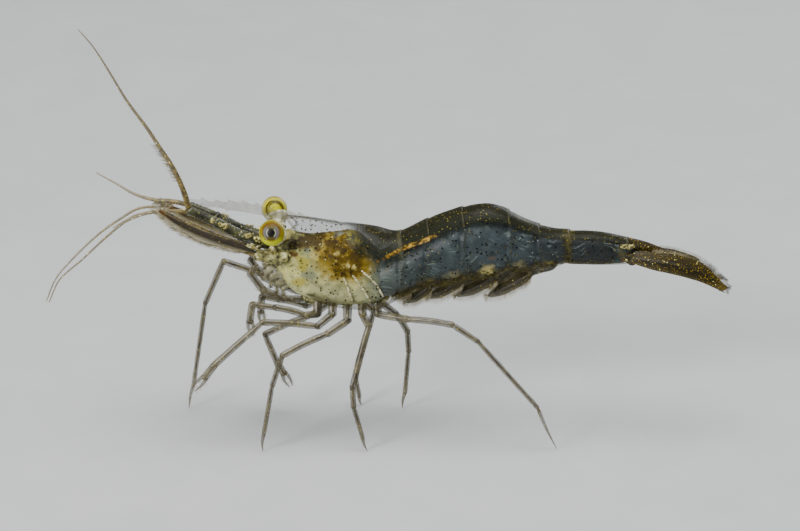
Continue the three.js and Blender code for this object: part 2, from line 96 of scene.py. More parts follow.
# %% Soft boxes
def soft_box(name, place, size, power, colour):
    """A square area light that faces the shrimp. place is in metres from the camera's aim."""
    lamp = bpy.data.lights.new(name, "AREA")
    lamp.size = size
    lamp.energy = power
    lamp.color = colour
    box = bpy.data.objects.new(name, lamp)
    box.location = aim + Vector(place)
    box.rotation_euler = Vector(place).to_track_quat("Z", "Y").to_euler()
    bpy.context.scene.collection.objects.link(box)
    print(f"{name} lamp: {power} W from a box {size} m wide")


soft_box("overhead", (0.02, -0.03, 0.30), 0.22, 1.25, (1.0, 0.98, 0.95))
soft_box("key", (-0.20, -0.22, 0.16), 0.10, 1.15, (1.0, 0.97, 0.92))
soft_box("behind", (0.14, 0.26, 0.09), 0.14, 0.35, (0.93, 0.97, 1.0))

world = bpy.data.worlds.new("studio")
world.use_nodes = True
dim_sky = world.node_tree.nodes["Background"].inputs
dim_sky["Color"].default_value = (0.80, 0.83, 0.86, 1)
dim_sky["Strength"].default_value = 0.28
bpy.context.scene.world = world

# %% [markdown]
# ## How a finish is made
# Every finish below is a tree of shader nodes. One function adds a node with its settings and
# links, so that a finish reads as a list of what it is made of. Colours are written as the hex
# values a picture editor shows, and turned into the linear values that light needs.
# A few nodes have several inputs of one name, so inputs are also given by number. In Math they are
# 0 and 1. In Map Range, 0 is the value, 1 and 2 are where it comes from, 3 and 4 where it goes to.
# In Mix, 0 is the share of the second colour, and 6 and 7 are the two colours.

# %% Nodes and colours
COLOURS = {"out": 2, "data_type": "RGBA"}  # a Mix node set to colours, and the output that has them


def linear(hex_colour):
    """An sRGB hex colour as linear red, green, blue and alpha."""
    shares = [int(hex_colour[i:i + 2], 16) / 255 for i in (1, 3, 5)]
    return [s / 12.92 if s <= 0.04045 else ((s + 0.055) / 1.055) ** 2.4 for s in shares] + [1.0]


def add(tree, kind, inputs, out=0, stops=(), **settings):
    """Adds a shader node with its settings, fills or links its inputs, and gives one output.

    A hex colour is turned linear; a ramp's stops are places with a colour or a grey value.
    """
    made = tree.nodes.new("ShaderNode" + kind)
    for name, value in settings.items():
        setattr(made, name, value)
    for name, value in inputs.items():
        if isinstance(value, bpy.types.NodeSocket):
            tree.links.new(value, made.inputs[name])
        else:
            made.inputs[name].default_value = linear(value) if isinstance(value, str) else value
    if stops:
        ramp = made.color_ramp.elements
        while len(ramp) < len(stops):
            ramp.new(1.0)
        for element, (place, colour) in zip(ramp, stops):
            element.position = place
            element.color = linear(colour) if isinstance(colour, str) else [colour] * 3 + [1]
    return made.outputs[out] if made.outputs else made


def finish(name, look):
    """A material named for what it is: look adds its nodes and returns the shader's inputs."""
    made = bpy.data.materials.new(name)
    made.use_nodes = True
    tree = made.node_tree
    tree.nodes.clear()
    add(tree, "OutputMaterial", {"Surface": add(tree, "BsdfPrincipled", look(tree))})
    print(f"finish {name}: {len(tree.nodes)} nodes")
    return made


def millimetres(tree):
    """The place on the model in this file's own millimetres."""
    place = add(tree, "TexCoord", {}, "Object")
    return add(tree, "Mapping", {
        "Vector": place, "Scale": (1 / MM,) * 3, "Location": (-SHIFT, 0, 0)})


def layout(tree):
    """How far across and how far along its sheet a point lies, each from 0 to 1."""
    parts = add(tree, "SeparateXYZ", {0: add(tree, "UVMap", {}, uv_map="UVMap")})
    return parts, parts.node.outputs[1]


# %% Washes, specks and ragged patches
def wash(tree, under, over, value, start, end, most=1.0):
    """Lays one colour over another, from none of it where value is start to most of it at end."""
    share = add(tree, "MapRange", {0: value, 1: start, 2: end, 4: most})
    return add(tree, "Mix", {0: share, 6: under, 7: over}, **COLOURS)


def dust(tree, where, colour, alpha, *layers):
    """Lays round specks of pigment over a colour, one kind after another.

    Each kind has a colour, the spacing and radius of its specks, and the share of the cells of a
    foam that hold one, which may be a pattern.
    """
    for hex_colour, spacing, radius, share in layers:
        foam = {"Vector": where, "Scale": 1 / spacing}
        near = add(tree, "TexVoronoi", foam, "Distance")
        chance = add(tree, "SeparateColor", {0: add(tree, "TexVoronoi", foam, "Color")})
        dot = add(tree, "MapRange", {0: near, 1: radius / spacing, 2: 0.6 * radius / spacing})
        chosen = add(tree, "Math", {0: chance, 1: share}, operation="LESS_THAN")
        mask = add(tree, "Math", {0: dot, 1: chosen}, operation="MULTIPLY")
        colour = add(tree, "Mix", {0: mask, 6: colour, 7: hex_colour}, **COLOURS)
        alpha = add(tree, "Math", {0: mask, 1: alpha}, operation="MAXIMUM")
    return colour, alpha


def both_sides(half):
    """A ramp's stops from one edge to the middle, then mirrored on to the other edge."""
    return half + [(1 - place, value) for place, value in reversed(half)]


def patch(tree, where, centre, radii, ragged):
    """0 in the middle of a patch on both sides of the body, 1 at its ragged rim, and more outside."""
    (x, z), (wide, tall) = centre, radii
    near = add(tree, "Mapping", {
        "Vector": where, "Location": (-x / wide, 0, -z / tall), "Scale": (1 / wide, 0, 1 / tall)})
    far = add(tree, "VectorMath", {0: near}, "Value", operation="LENGTH")
    clouds = add(tree, "TexNoise", {"Vector": where, "Scale": 1 / 0.6, "Detail": 5.0})
    torn = add(tree, "MapRange", {0: clouds, 1: 0.3, 2: 0.7, 3: -ragged, 4: ragged})
    return add(tree, "Math", {0: far, 1: torn}, operation="ADD")


def shine(tree, where, start, end, half):
    """1 along a straight band seen from the side, half millimetres to each side, soft-edged."""
    along = Vector((end[0] - start[0], 0, end[1] - start[1]))
    lie = add(tree, "Mapping", {"Vector": where, "Location": (-start[0], 0, -start[1])})
    gone = add(tree, "VectorMath", {0: lie, 1: along.normalized()}, "Value", operation="DOT_PRODUCT")
    off = add(tree, "VectorMath", {
        0: lie, 1: along.normalized().cross(RIGHT)}, "Value", operation="DOT_PRODUCT")
    near = add(tree, "MapRange", {
        0: add(tree, "Math", {0: off}, operation="ABSOLUTE"), 1: half * 1.5, 2: half * 0.6})
    begun = add(tree, "MapRange", {0: gone, 1: -0.3, 2: 0.5})
    ended = add(tree, "MapRange", {0: gone, 1: along.length + 0.3, 2: along.length - 0.5})
    there = add(tree, "Math", {0: begun, 1: ended}, operation="MULTIPLY")
    return add(tree, "Math", {0: near, 1: there}, operation="MULTIPLY")


# %% [markdown]
# ## How a shape is made
# Nearly every part of a shrimp is a skin stretched over rings. A flat grid does this well: one
# side of it runs round the rings and the other along them, and a rule bends each of its points
# into place. The grid's own flat layout stays on as the UV map, so that a finish can follow the
# part, from its left edge to its right and from front to rear.

# %% Sheets and lines
SEAM = 1e-5  # points nearer to each other than this become one


def new_shape(uv_name="UVMap"):
    """An empty mesh with the UV layer that its pieces fill."""
    bm = bmesh.new()
    bm.loops.layers.uv.new(uv_name)
    return bm


def sheet(bm, across, along, place):
    """A grid bent so that the point at shares u across and v along lies at place(u, v)."""
    made = bmesh.ops.create_grid(
        bm, x_segments=across, y_segments=along, size=0.5, calc_uvs=True)["verts"]
    for point in made:
        point.co = place(point.co.x + 0.5, point.co.y + 0.5)
    return made


def close_seams(bm, made):
    """Joins the two edges of a rolled sheet, and the rings at its ends that shrink to a point."""
    bmesh.ops.remove_doubles(bm, verts=made, dist=SEAM)


def smooth_line(points, steps=10):
    """Many points on a smooth curve through a few."""
    knots = [Vector(p) for p in points]
    ends = [2 * knots[0] - knots[1]] + knots + [2 * knots[-1] - knots[-2]]
    line = []
    for before, start, end, after in zip(ends, ends[1:], ends[2:], ends[3:]):
        third = (end - start).length / 3
        ahead = start + (end - before).normalized() * third
        back = end - (after - start).normalized() * third
        line += interpolate_bezier(start, ahead, back, end, steps + 1)[:-1]
    return line + [knots[-1]]


def follow(line):
    """A function that gives the place and direction at a share of a line's length."""
    gone = [0.0]
    for start, end in zip(line, line[1:]):
        gone.append(gone[-1] + (end - start).length)

    def at(share):
        goal = min(max(share, 0.0), 1.0) * gone[-1]
        i = min(bisect_right(gone, goal), len(line) - 1) - 1
        step = line[i + 1] - line[i]
        return line[i] + step * ((goal - gone[i]) / step.length), step.normalized()

    return at


def mirrored(points, out):
    """Points whose y is their distance from the middle, on the side that out names."""
    return [Vector((x, out * y, z)) for x, y, z in points]


def ease(value, start, end):
    """0 before start, 1 after end, and smooth between them."""
    t = min(max((value - start) / (end - start), 0.0), 1.0)
    return t * t * (3 - 2 * t)


def hump(value, centre, width):
    """1 at the centre, falling to 0 on both sides of it."""
    return math.exp(-(((value - centre) / width) ** 2))


def rounded(share, sharp=8):
    """1 along most of a length, falling to 0 at both ends like the end of an egg."""
    return math.sqrt(max(0.0, 1 - abs(2 * share - 1) ** sharp))


# %% Tubes, spines and finished pieces
SPIKE_TIP = 0.12  # how blunt a spine's tip is, as a share of its root


def evenly(v):
    """Rings at equal steps."""
    return v


def crowded(v):
    """Rings crowded together at both ends, so that a round end stays round."""
    return (1 - math.cos(math.pi * v)) / 2


def tube(bm, line, girth, sides=12, rows=40, guide=RIGHT, spacing=evenly):
    """A closed skin along a line; girth(share) gives its half width and half depth there.

    Gives back the skin as a function of the shares round and along it.
    """
    at = follow(line)

    def skin(u, v):
        middle, ahead = at(v)
        across = ahead.cross(guide).normalized()
        wide, deep = girth(v)
        turn = TAU * u
        out = across * (wide * math.sin(turn)) + across.cross(ahead) * (deep * math.cos(turn))
        return middle + out, out, ahead

    close_seams(bm, sheet(bm, sides, rows, lambda u, v: skin(u, spacing(v))[0]))
    return skin


def domed(share, length, radius):
    """1 along most of a length, falling to 0 over the last radius at both ends, like a ball."""
    gone = min(share, 1 - share) * length / radius
    return math.sqrt(max(0.0, 1 - (1 - min(gone, 1.0)) ** 2))


def spine(bm, root, tip, radius, sides=8):
    """A small pointed spine."""
    root, tip = Vector(root), Vector(tip)
    turn = (tip - root).to_track_quat("Z", "Y").to_matrix().to_4x4()
    bmesh.ops.create_cone(
        bm, segments=sides, radius1=radius, radius2=radius * SPIKE_TIP, cap_ends=True,
        depth=(tip - root).length, matrix=Matrix.Translation((root + tip) / 2) @ turn, calc_uvs=True)


def lump(bm, centre, radii, rough, grain, level=4):
    """A ball pressed to three radii and roughened by rough millimetres."""
    made = bmesh.ops.create_icosphere(bm, subdivisions=level, radius=1.0, calc_uvs=True)["verts"]
    centre, radii = Vector(centre), Vector(radii)
    for point in made:
        unit = point.co.copy()
        grown = unit * radii
        grown += unit * rough * noise.noise((grown + centre) * grain)
        grown += unit * rough * 0.6 * noise.noise((grown + centre) * grain * 2.7)
        point.co = centre + grown


def piece(name, bm, material, slot, *nodes, outward=True):
    """Turns a shape into a finished object in the frame, and hides the frame's parts for the nodes it
    stands for.
    """
    if outward:
        bmesh.ops.recalc_face_normals(bm, faces=bm.faces)
    bmesh.ops.transform(bm, matrix=TO_ROW, verts=bm.verts)
    mesh = bpy.data.meshes.new(name)
    bm.to_mesh(mesh)
    bm.free()
    mesh.materials.append(material)
    mesh.shade_smooth()
    made = bpy.data.objects.new(name, mesh)
    bpy.context.scene.collection.objects.link(made)
    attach(made, "root")
    if nodes:
        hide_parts(*nodes)
    print(f"piece {name}: {len(mesh.polygons)} faces")
    return made


# %% [markdown]
# ## Floor
# A sheet of matt card, large enough to fill every view. Paper is never quite even, so a faint
# cloud runs through its colour.

# %% Floor
def studio_card(tree):
    """Matt grey-white card with the faint unevenness of paper."""
    clouds = add(tree, "TexNoise", {"Vector": millimetres(tree), "Scale": 1 / 6.0, "Detail": 3.0})
    shade = add(tree, "ValToRGB", {0: clouds}, stops=[(0.2, "#b3b7b9"), (0.8, "#babdbe")])
    return {"Base Color": shade, "Roughness": 0.8}


FLOOR_HALF = 1.5 / MM  # 1.5 m each way

bm = new_shape()
bmesh.ops.create_grid(bm, x_segments=1, y_segments=1, size=FLOOR_HALF, calc_uvs=True)
floor = piece("floor", bm, finish("studio_card", studio_card), "shell")

# %% [markdown]
# ## The trunk's outline
# One table gives the trunk's height and width along the body, and a smooth curve runs between
# its rows. All the plates read it, so they fit each other at every section. The flesh under them
# has tables of its own, a little smaller.

# %% Trunk table
# x, back, hem of the side plates, half width
TRUNK = [
    (-9.2, 18.6, 12.8, 1.25), (-7.2, 18.35, 11.75, 1.9), (-4.8, 17.95, 11.35, 2.35),
    (-2.0, 17.5, 11.35, 2.5), (-0.2, 17.1, 12.1, 2.35), (1.6, 17.9, 12.9, 2.3),
    (4.0, 18.9, 13.3, 2.3), (6.8, 19.5, 13.75, 2.12), (8.2, 19.15, 14.05, 1.95),
    (9.8, 18.3, 14.3, 1.72), (11.4, 17.6, 14.5, 1.48), (13.4, 17.25, 14.68, 1.26),
    (16.0, 17.1, 14.66, 1.16), (18.0, 16.6, 14.6, 1.05),
]
CARAPACE_EDGES = (-9.1, 0.08)
# the front edge of each tail ring, and the end of the last one
RING_EDGES = [-0.2, 1.9, 4.7, 8.4, 10.8, 13.2, 17.9]
print(f"trunk {TRUNK[-1][0] - TRUNK[0][0]:.1f} mm long in {len(TRUNK)} sections")


def between(table, x):
    """The values of a table at x, on a smooth curve through its rows."""
    last = len(table) - 1
    i = min(max(bisect_right([row[0] for row in table], x) - 1, 0), last - 1)
    start, end = table[i], table[i + 1]
    span = end[0] - start[0]
    t = (x - start[0]) / span

    def slope(k, column):
        before, after = table[max(k - 1, 0)], table[min(k + 1, last)]
        return (after[column] - before[column]) / (after[0] - before[0])

    return [
        start[c] * (2 * t ** 3 - 3 * t ** 2 + 1) + end[c] * (3 * t ** 2 - 2 * t ** 3)
        + span * (slope(i, c) * (t ** 3 - 2 * t ** 2 + t) + slope(i + 1, c) * (t ** 3 - t ** 2))
        for c in range(1, len(start))
    ]


# %% [markdown]
# ## Clear shell plates
# A shrimp's shell is chitin, clear as horn and under a tenth of a millimetre thick. It is an arch over
# the back with two side plates that hang free. Each plate is a sheet bent over the trunk's
# outline and given a thin wall. At the rear it flares a little and slides over the next one.
# The second plate's sides lie over both of its neighbours, as on every shrimp of this group.
# A solid body of glass would bend the view of the flesh as a lens does, so the walls stay thin.

# %% Finish: clear chitin
LAST_JOINT = 13.45  # where a dark band of pigment crosses the back
GUT_SHINE = ((-1.9, 15.40), (2.9, 17.45), 0.13)  # x and z of its ends, and half its width


def clear_chitin(saddle_start, saddle_along, front_glint):
    """Clear cuticle with an olive film over the back, darkened towards the top as painted shade, a few
    gold grains and black dots.

    The film begins at saddle_start across the plate, and saddle_along gives how dense it is from the
    front of the plate to its rear. front_glint is how much the pale front edge hides: a painted
    glint, where light catches the rim of the eye socket. The front of the gut lies right under the
    film, which takes on its orange there.
    """
    def look(tree):
        where = millimetres(tree)
        across, along = layout(tree)
        saddle = add(tree, "ValToRGB", {0: across}, stops=both_sides([
            (saddle_start, 0.0), (saddle_start + 0.05, 0.8), (0.42, 1.0)]))
        dense = add(tree, "ValToRGB", {0: along}, stops=saddle_along)
        film = add(tree, "Math", {0: saddle, 1: dense}, operation="MULTIPLY")
        ridge = add(tree, "ValToRGB", {0: across}, stops=both_sides([
            (0.02, 0.34), (0.05, 0.07), (0.46, 0.07), (0.49, 0.55)]))
        film = add(tree, "Math", {0: film, 1: ridge}, operation="MAXIMUM")
        # The pale front edge of the carapace is a painted glint on the rim of the eye socket; the faint
        # pale line at the rear of each plate is its own edge.
        edges = add(tree, "ValToRGB", {0: along}, stops=[
            (0.0, front_glint), (0.05, 0.0), (0.95, 0.0), (0.975, 0.15), (0.99, 0.10)])
        clouds = add(tree, "TexNoise", {"Vector": where, "Scale": 1 / 0.9, "Detail": 5.0})
        thick = add(tree, "MapRange", {0: clouds, 1: 0.3, 2: 0.7, 3: 0.82, 4: 1.15})
        film = add(tree, "Math", {0: film, 1: thick}, operation="MULTIPLY")
        # Painted shade: the film's hue is darker than the shell's own olive tint, and darkest at the
        # top of the back, so that the back stays dark under the overhead light.
        shaded_film_hue = add(tree, "ValToRGB", {0: across}, stops=both_sides([
            (0.03, "#403b20"), (0.10, "#343a32"), (0.30, "#282d26"), (0.44, "#222216")]))
        colour = add(tree, "Mix", {0: edges, 6: shaded_film_hue, 7: "#8f8a64"}, **COLOURS)
        film = add(tree, "Math", {0: film, 1: edges}, operation="MAXIMUM")
        run = add(tree, "SeparateXYZ", {0: where})
        far = add(tree, "Math", {0: run, 1: LAST_JOINT}, operation="SUBTRACT")
        far = add(tree, "Math", {0: far}, operation="ABSOLUTE")
        morsels = add(tree, "TexNoise", {"Vector": where, "Scale": 1 / 0.3, "Detail": 3.0})
        full = add(tree, "ValToRGB", {0: morsels}, stops=[(0.36, 0.10), (0.56, 0.85)])
        band = add(tree, "MapRange", {0: far, 1: 0.62, 2: 0.10, 4: 0.60})
        band = add(tree, "Math", {0: band, 1: full}, operation="MULTIPLY")
        colour = add(tree, "Mix", {0: band, 6: colour, 7: "#5f5628"}, **COLOURS)
        film = add(tree, "Math", {0: film, 1: band}, operation="MAXIMUM")
        lit = shine(tree, where, *GUT_SHINE)
        lit = add(tree, "Math", {0: lit, 1: full}, operation="MULTIPLY")
        food = add(tree, "ValToRGB", {0: morsels}, stops=[
            (0.42, "#5f4a10"), (0.54, "#96701a"), (0.66, "#bd9a3c")])
        colour = add(tree, "Mix", {0: lit, 6: colour, 7: food}, **COLOURS)
        film = add(tree, "Math", {0: film, 1: lit}, operation="MAXIMUM")
        golden = add(tree, "ValToRGB", {0: across}, stops=both_sides([
            (0.04, 0.40), (0.12, 0.10), (0.30, 0.10), (0.37, 0.60), (0.42, 0.30), (0.49, 0.85)]))
        golden = add(tree, "Math", {0: golden, 1: band}, operation="ADD")
        colour, alpha = dust(
            tree, where, colour, film, ("#8f842a", 0.22, 0.050, golden),
            ("#d8dca0", 0.40, 0.055, 0.25), ("#040404", 0.40, 0.088, 0.55))
        grain = add(tree, "TexNoise", {"Vector": where, "Scale": 1 / 0.25, "Detail": 3.0})
        bump = add(tree, "Bump", {"Height": grain, "Distance": 0.02 * MM, "Strength": 0.35})
        return {"Base Color": colour, "Alpha": alpha, "Roughness": 0.38, "IOR": 1.45,
                "Specular IOR Level": 0.08, "Coat Weight": 0.02, "Coat Roughness": 0.15,
                "Normal": bump}

    return look


ring_chitin = finish("clear_chitin_rings", clear_chitin(0.32, [(0.0, 0.93), (1.0, 0.95)], 0.0))
chest_chitin = finish(
    "clear_chitin_chest", clear_chitin(0.26, [(0.48, 0.03), (0.64, 0.50), (0.76, 0.93)], 0.50))

# %% Plates
ARCH = 0.6  # the share of a plate's half that is the arch; the rest hangs straight
WALL = 0.05
BOW = 0.32
NARROWING = 0.07  # how much nearer the middle the hem is than the widest place, as a share


def trunk_point(x, turn, out=0.0, lift=0.0):
    """A point on the trunk's outline. turn goes from -1 at the left hem over the back to 1."""
    back, hem, half = between(TRUNK, x)
    hem += lift
    middle = (back + hem) / 2
    side = abs(turn)
    if side < ARCH:
        angle = side / ARCH * math.pi / 2
        y = (half + out) * math.sin(angle)
        z = middle + (back - middle + out) * math.cos(angle)
    else:
        drop = (side - ARCH) / (1 - ARCH)
        y = (half + out) * (1 - NARROWING * drop ** 2)
        z = middle - (middle - hem) * drop
    return Vector((x, math.copysign(y, turn), z))


def level_of(turn):
    """1 at the middle of the back, 0 at the widest place and -1 at the hem."""
    side = abs(turn)
    return math.cos(side / ARCH * math.pi / 2) if side < ARCH else -(side - ARCH) / (1 - ARCH)


def bowed(level):
    """How far a joint bows back at mid height."""
    return BOW * (1 - min(1.0, level * level))


def socketed(level):
    """The carapace's front edge: eye notch, spine below it and sloping cheek."""
    notch, point = 0.75 * hump(level, 0.62, 0.2), 0.35 * hump(level, 0.2, 0.12)
    return notch - point + 0.9 * max(0.0, -level) ** 1.5


def plate(bm, start, end, across, along, front, rear, out, lift):
    """A thin-walled arch from one joint to the next."""
    def place(u, v):
        turn = 2 * u - 1
        level = level_of(turn)
        point = trunk_point(start + (end - start) * v, turn, out(level, v), lift(v))
        point.x += (1 - v) * front(level) + v * rear(level)
        return point

    sheet(bm, across, along, place)
    bmesh.ops.recalc_face_normals(bm, faces=bm.faces)
    top = max(bm.faces, key=lambda face: face.calc_center_median().z)
    if top.normal.z < 0:
        bmesh.ops.reverse_faces(bm, faces=bm.faces)
    bmesh.ops.solidify(bm, geom=bm.faces, thickness=WALL)


def carapace_out(level, v):
    """The gill chamber bulges, and a groove runs over it from the cheek up towards the back."""
    bulge = 0.05 * math.sin(math.pi * v) * ease(-level, -0.5, 0.3)
    return bulge - 0.07 * hump(v, 0.30 + 0.18 * level, 0.03) * ease(level, -0.6, 0.1) - 0.02


# root, tip and half width of the spines on a cheek
CHEEK_SPINES = [((-8.7, 1.42, 16.3), (-9.65, 1.62, 16.15), 0.12),
                ((-8.4, 1.48, 14.9), (-9.05, 1.66, 14.7), 0.10)]

bm = new_shape()
plate(bm, *CARAPACE_EDGES, 72, 64, socketed, bowed, carapace_out, lambda v: 0.0)
for out in SIDES.values():
    for *ends, girth in CHEEK_SPINES:
        spine(bm, *mirrored(ends, out), girth)
piece("carapace", bm, chest_chitin, "chest", "carapace", outward=False)

# %% Six tail rings
OVERLAP = 0.28  # how far a ring slides over the next one

for number in range(1, 7):
    start, end = RING_EDGES[number - 1] + 0.02, RING_EDGES[number] + OVERLAP
    broad = 1.0 if number == 2 else 0.0

    def ring_out(level, v):
        flare = 0.06 * ease(v, 0.55, 1.0) - 0.05 * ease(v, 0.3, 0.0)
        return -0.05 + flare + 0.11 * broad * ease(-level, -0.1, 0.4)

    def ring_lift(v):
        return 0.42 * abs(2 * v - 1) ** 3 * (0.35 if number == 6 else 1.0)

    def ring_front(level):
        return bowed(level) - 0.75 * broad * ease(-level, 0.0, 0.7)

    def ring_rear(level):
        return bowed(level) + 0.55 * broad * ease(-level, 0.0, 0.7)

    bm = new_shape()
    plate(bm, start, end, 64, 30, ring_front, ring_rear, ring_out, ring_lift)
    piece(f"somite_{number}", bm, ring_chitin, "shell", f"somite_{number}", outward=False)

# %% [markdown]
# ## Tail muscle
# The tail of a shrimp is one strong muscle, slate grey and streaked, in bundles between the
# joints. It is a closed skin of its own, lower than the back, so that a clear rim is left above
# it where the gut runs. Muscle fibres are far too thin to draw one by one, so the pale streaks
# stand for bundles of them, a fifth of a millimetre wide. At the root of each swimmeret a heap of
# pigment shines through the muscle, so the heaps are painted in.

# %% Finish: tail muscle
BUNDLE = 0.2  # drawn much wider than a real fibre, which wouldn't show
# x, z, half length, half height and colour of the heaps of pigment
HEAPS = [
    (2.45, 13.2, 0.45, 0.62, "#8d8140"), (4.35, 13.9, 0.80, 0.62, "#8f8a68"),
    (6.9, 14.35, 0.75, 0.68, "#c4b878"), (9.5, 14.6, 0.75, 0.55, "#948c5c"),
    (11.9, 14.75, 0.70, 0.34, "#8a7f46"), (13.45, 15.7, 0.30, 1.25, "#3f3a20"),
    (7.3, 15.55, 0.40, 0.24, "#4f463c"), (17.9, 15.7, 0.50, 0.9, "#4a4526"),
    (18.0, 15.85, 0.32, 0.24, "#26343c"), (17.3, 14.95, 0.30, 0.34, "#1f4244"),
    (17.95, 15.0, 0.30, 0.24, "#84500c"),
]


def tail_muscle(tree):
    """Half-clear muscle: slate grey, cloudy, with fine pale fibres and dark pigment dots."""
    where = millimetres(tree)
    drift = add(tree, "TexNoise", {"Vector": where, "Scale": 1 / 2.6, "Detail": 1.0}, "Color")
    bent = add(tree, "VectorMath", {0: drift, 1: (3.5, 3.5, 3.5), 2: where}, operation="MULTIPLY_ADD")
    lie = add(tree, "Mapping", {
        "Vector": bent, "Rotation": (0, math.radians(62), 0), "Scale": (0.25, 1.0, 2.6)})
    strands = add(tree, "TexNoise", {"Vector": lie, "Scale": 1 / BUNDLE / 2, "Detail": 2.0})
    here = add(tree, "TexNoise", {"Vector": where, "Scale": 1 / 1.5, "Detail": 2.0})
    streak = add(tree, "ValToRGB", {0: strands}, stops=[(0.56, 0.0), (0.66, 0.75)])
    there = add(tree, "ValToRGB", {0: here}, stops=[(0.48, 0.0), (0.62, 1.0)])
    streak = add(tree, "Math", {0: streak, 1: there}, operation="MULTIPLY")
    run = add(tree, "SeparateXYZ", {0: where})
    run = add(tree, "MapRange", {0: run, 1: -3.0, 2: 18.6})
    deep = add(tree, "ValToRGB", {0: run}, stops=[
        (0.05, "#3c4341"), (0.22, "#20282a"), (0.45, "#20292d"), (0.70, "#151b1f"), (1.0, "#101314")])
    pale = add(tree, "ValToRGB", {0: run}, stops=[
        (0.05, "#59615e"), (0.22, "#404b4e"), (0.50, "#47535a"), (0.75, "#262d31"), (1.0, "#1e211d")])
    clouds = add(tree, "TexNoise", {"Vector": where, "Scale": 1 / 0.9, "Detail": 7.0})
    milky = add(tree, "ValToRGB", {0: clouds}, stops=[(0.34, 0.0), (0.68, 0.9)])
    colour = add(tree, "Mix", {0: milky, 6: deep, 7: pale}, **COLOURS)
    colour = add(tree, "Mix", {0: streak, 6: colour, 7: "#73827f"}, **COLOURS)
    for x, z, long, tall, shade in HEAPS:
        rim = patch(tree, where, (x, z), (long, tall), 0.45)
        colour = wash(tree, colour, shade, rim, 1.15, 0.35, 0.92)
    dark = add(tree, "ValToRGB", {0: run}, stops=[(0.35, 0.55), (0.70, 0.12)])
    colour, _ = dust(
        tree, where, colour, 1.0, ("#9aa39c", 0.42, 0.06, 0.25), ("#8f9240", 0.40, 0.055, 0.25),
        ("#020303", 0.40, 0.095, dark))
    bump = add(tree, "Bump", {"Height": strands, "Distance": 0.05 * MM, "Strength": 0.4})
    return {"Base Color": colour, "Roughness": 0.42, "Specular IOR Level": 0.3, "Normal": bump}


muscle = finish("tail_muscle", tail_muscle)

# %% Tail muscle
# x, top, bottom, half width
MUSCLE = [
    (-3.2, 15.0, 12.3, 1.70), (-1.6, 15.2, 11.8, 2.18), (0.0, 16.0, 12.15, 2.22),
    (1.2, 16.6, 12.7, 2.17), (2.6, 17.3, 13.1, 2.17), (4.4, 18.1, 13.35, 2.17),
    (6.4, 18.45, 13.7, 2.02), (8.5, 18.15, 14.0, 1.80), (10.5, 17.52, 14.3, 1.52),
    (12.8, 17.02, 14.45, 1.22), (14.4, 16.88, 14.42, 1.13), (16.0, 16.80, 14.4, 1.08),
    (18.0, 16.40, 14.5, 0.97), (18.9, 16.15, 14.8, 0.75),
]
EGG = (0.85, 0.9)  # the powers that round a section across and upright; 1 and 1 give an ellipse


def body_skin(bm, table, start, end, around, along, swell, sharp=14, belly=EGG):
    """A closed body over a table of tops, bottoms and half widths; swell(x, turn) moves its skin.

    belly holds the powers that round its section below the middle: the smaller, the squarer.
    """
    def place(u, v):
        x = start + (end - start) * v
        top, bottom, half = between(table, x)
        turn = TAU * u
        full = rounded(v, sharp)
        out = swell(x, turn)
        wide, tall = belly if math.cos(turn) > 0 else EGG
        y = math.copysign(abs(math.sin(turn)) ** wide, math.sin(turn)) * (half + out)
        z = math.copysign(abs(math.cos(turn)) ** tall, -math.cos(turn)) * ((top - bottom) / 2 + out)
        return Vector((x, y * full, (top + bottom) / 2 + z * full))

    close_seams(bm, sheet(bm, around, along, place))


def muscle_swell(x, turn):
    """Bundles bulge between the joints."""
    nearest = min(abs(x - edge - 0.1) for edge in RING_EDGES[:-1])
    lumps = 0.05 * noise.noise(Vector((x * 0.9, math.sin(turn) * 2, math.cos(turn) * 2)))
    return lumps - 0.10 * hump(nearest, 0.0, 0.16)


bm = new_shape()
body_skin(bm, MUSCLE, -3.0, 18.75, 48, 220, muscle_swell, sharp=24)
piece("tail_muscle", bm, muscle, "shell")

# %% [markdown]
# ## Chest flesh, liver and stomach
# In the chest lies a cream mass: gills at the sides, and between them the digestive gland, which
# does a liver's work, and the stomach. The gland shines through as a mustard-brown patch with a
# soft edge, so it is painted in one skin with the rest, and the same patch lifts the skin a
# little, so that it also catches light as a lump. The stomach is the dark band before it.

# %% Finish: chest flesh
GLAND = ((-4.4, 15.7), (1.95, 1.8))  # its middle in x and z, and its half length and half height
# light goes into soft tissue and comes out a little way off, red light the farthest
SOFT_TISSUE = {"Subsurface Weight": 0.1, "Subsurface Radius": (0.8, 0.7, 0.5),
               "Subsurface Scale": 0.3 * MM}
# x, z, half length, half height, how ragged the edge is, and the colour
CHEST_PATCHES = [
    (-3.2, 17.1, 1.25, 0.70, 0.55, "#5d6150"), (-7.4, 16.05, 0.34, 0.30, 0.30, "#6f7566"),
    (-4.9, 17.25, 0.55, 0.30, 0.45, "#7c8578"), (-3.3, 16.9, 0.42, 0.26, 0.90, "#a19740"),
    (-4.0, 17.15, 0.32, 0.22, 0.90, "#b0a548"),
    (-7.2, 14.0, 0.70, 0.50, 0.40, "#83896c"), (-7.3, 16.6, 1.95, 0.62, 0.40, "#3a2800"),
    (-8.5, 16.5, 0.62, 0.50, 0.40, "#261a00"), (-8.5, 15.75, 0.46, 0.26, 0.30, "#4f2f08"),
    (-8.0, 13.3, 0.70, 0.50, 0.50, "#9c9246"), (-7.7, 15.0, 0.50, 0.70, 0.50, "#a39a3e"),
]


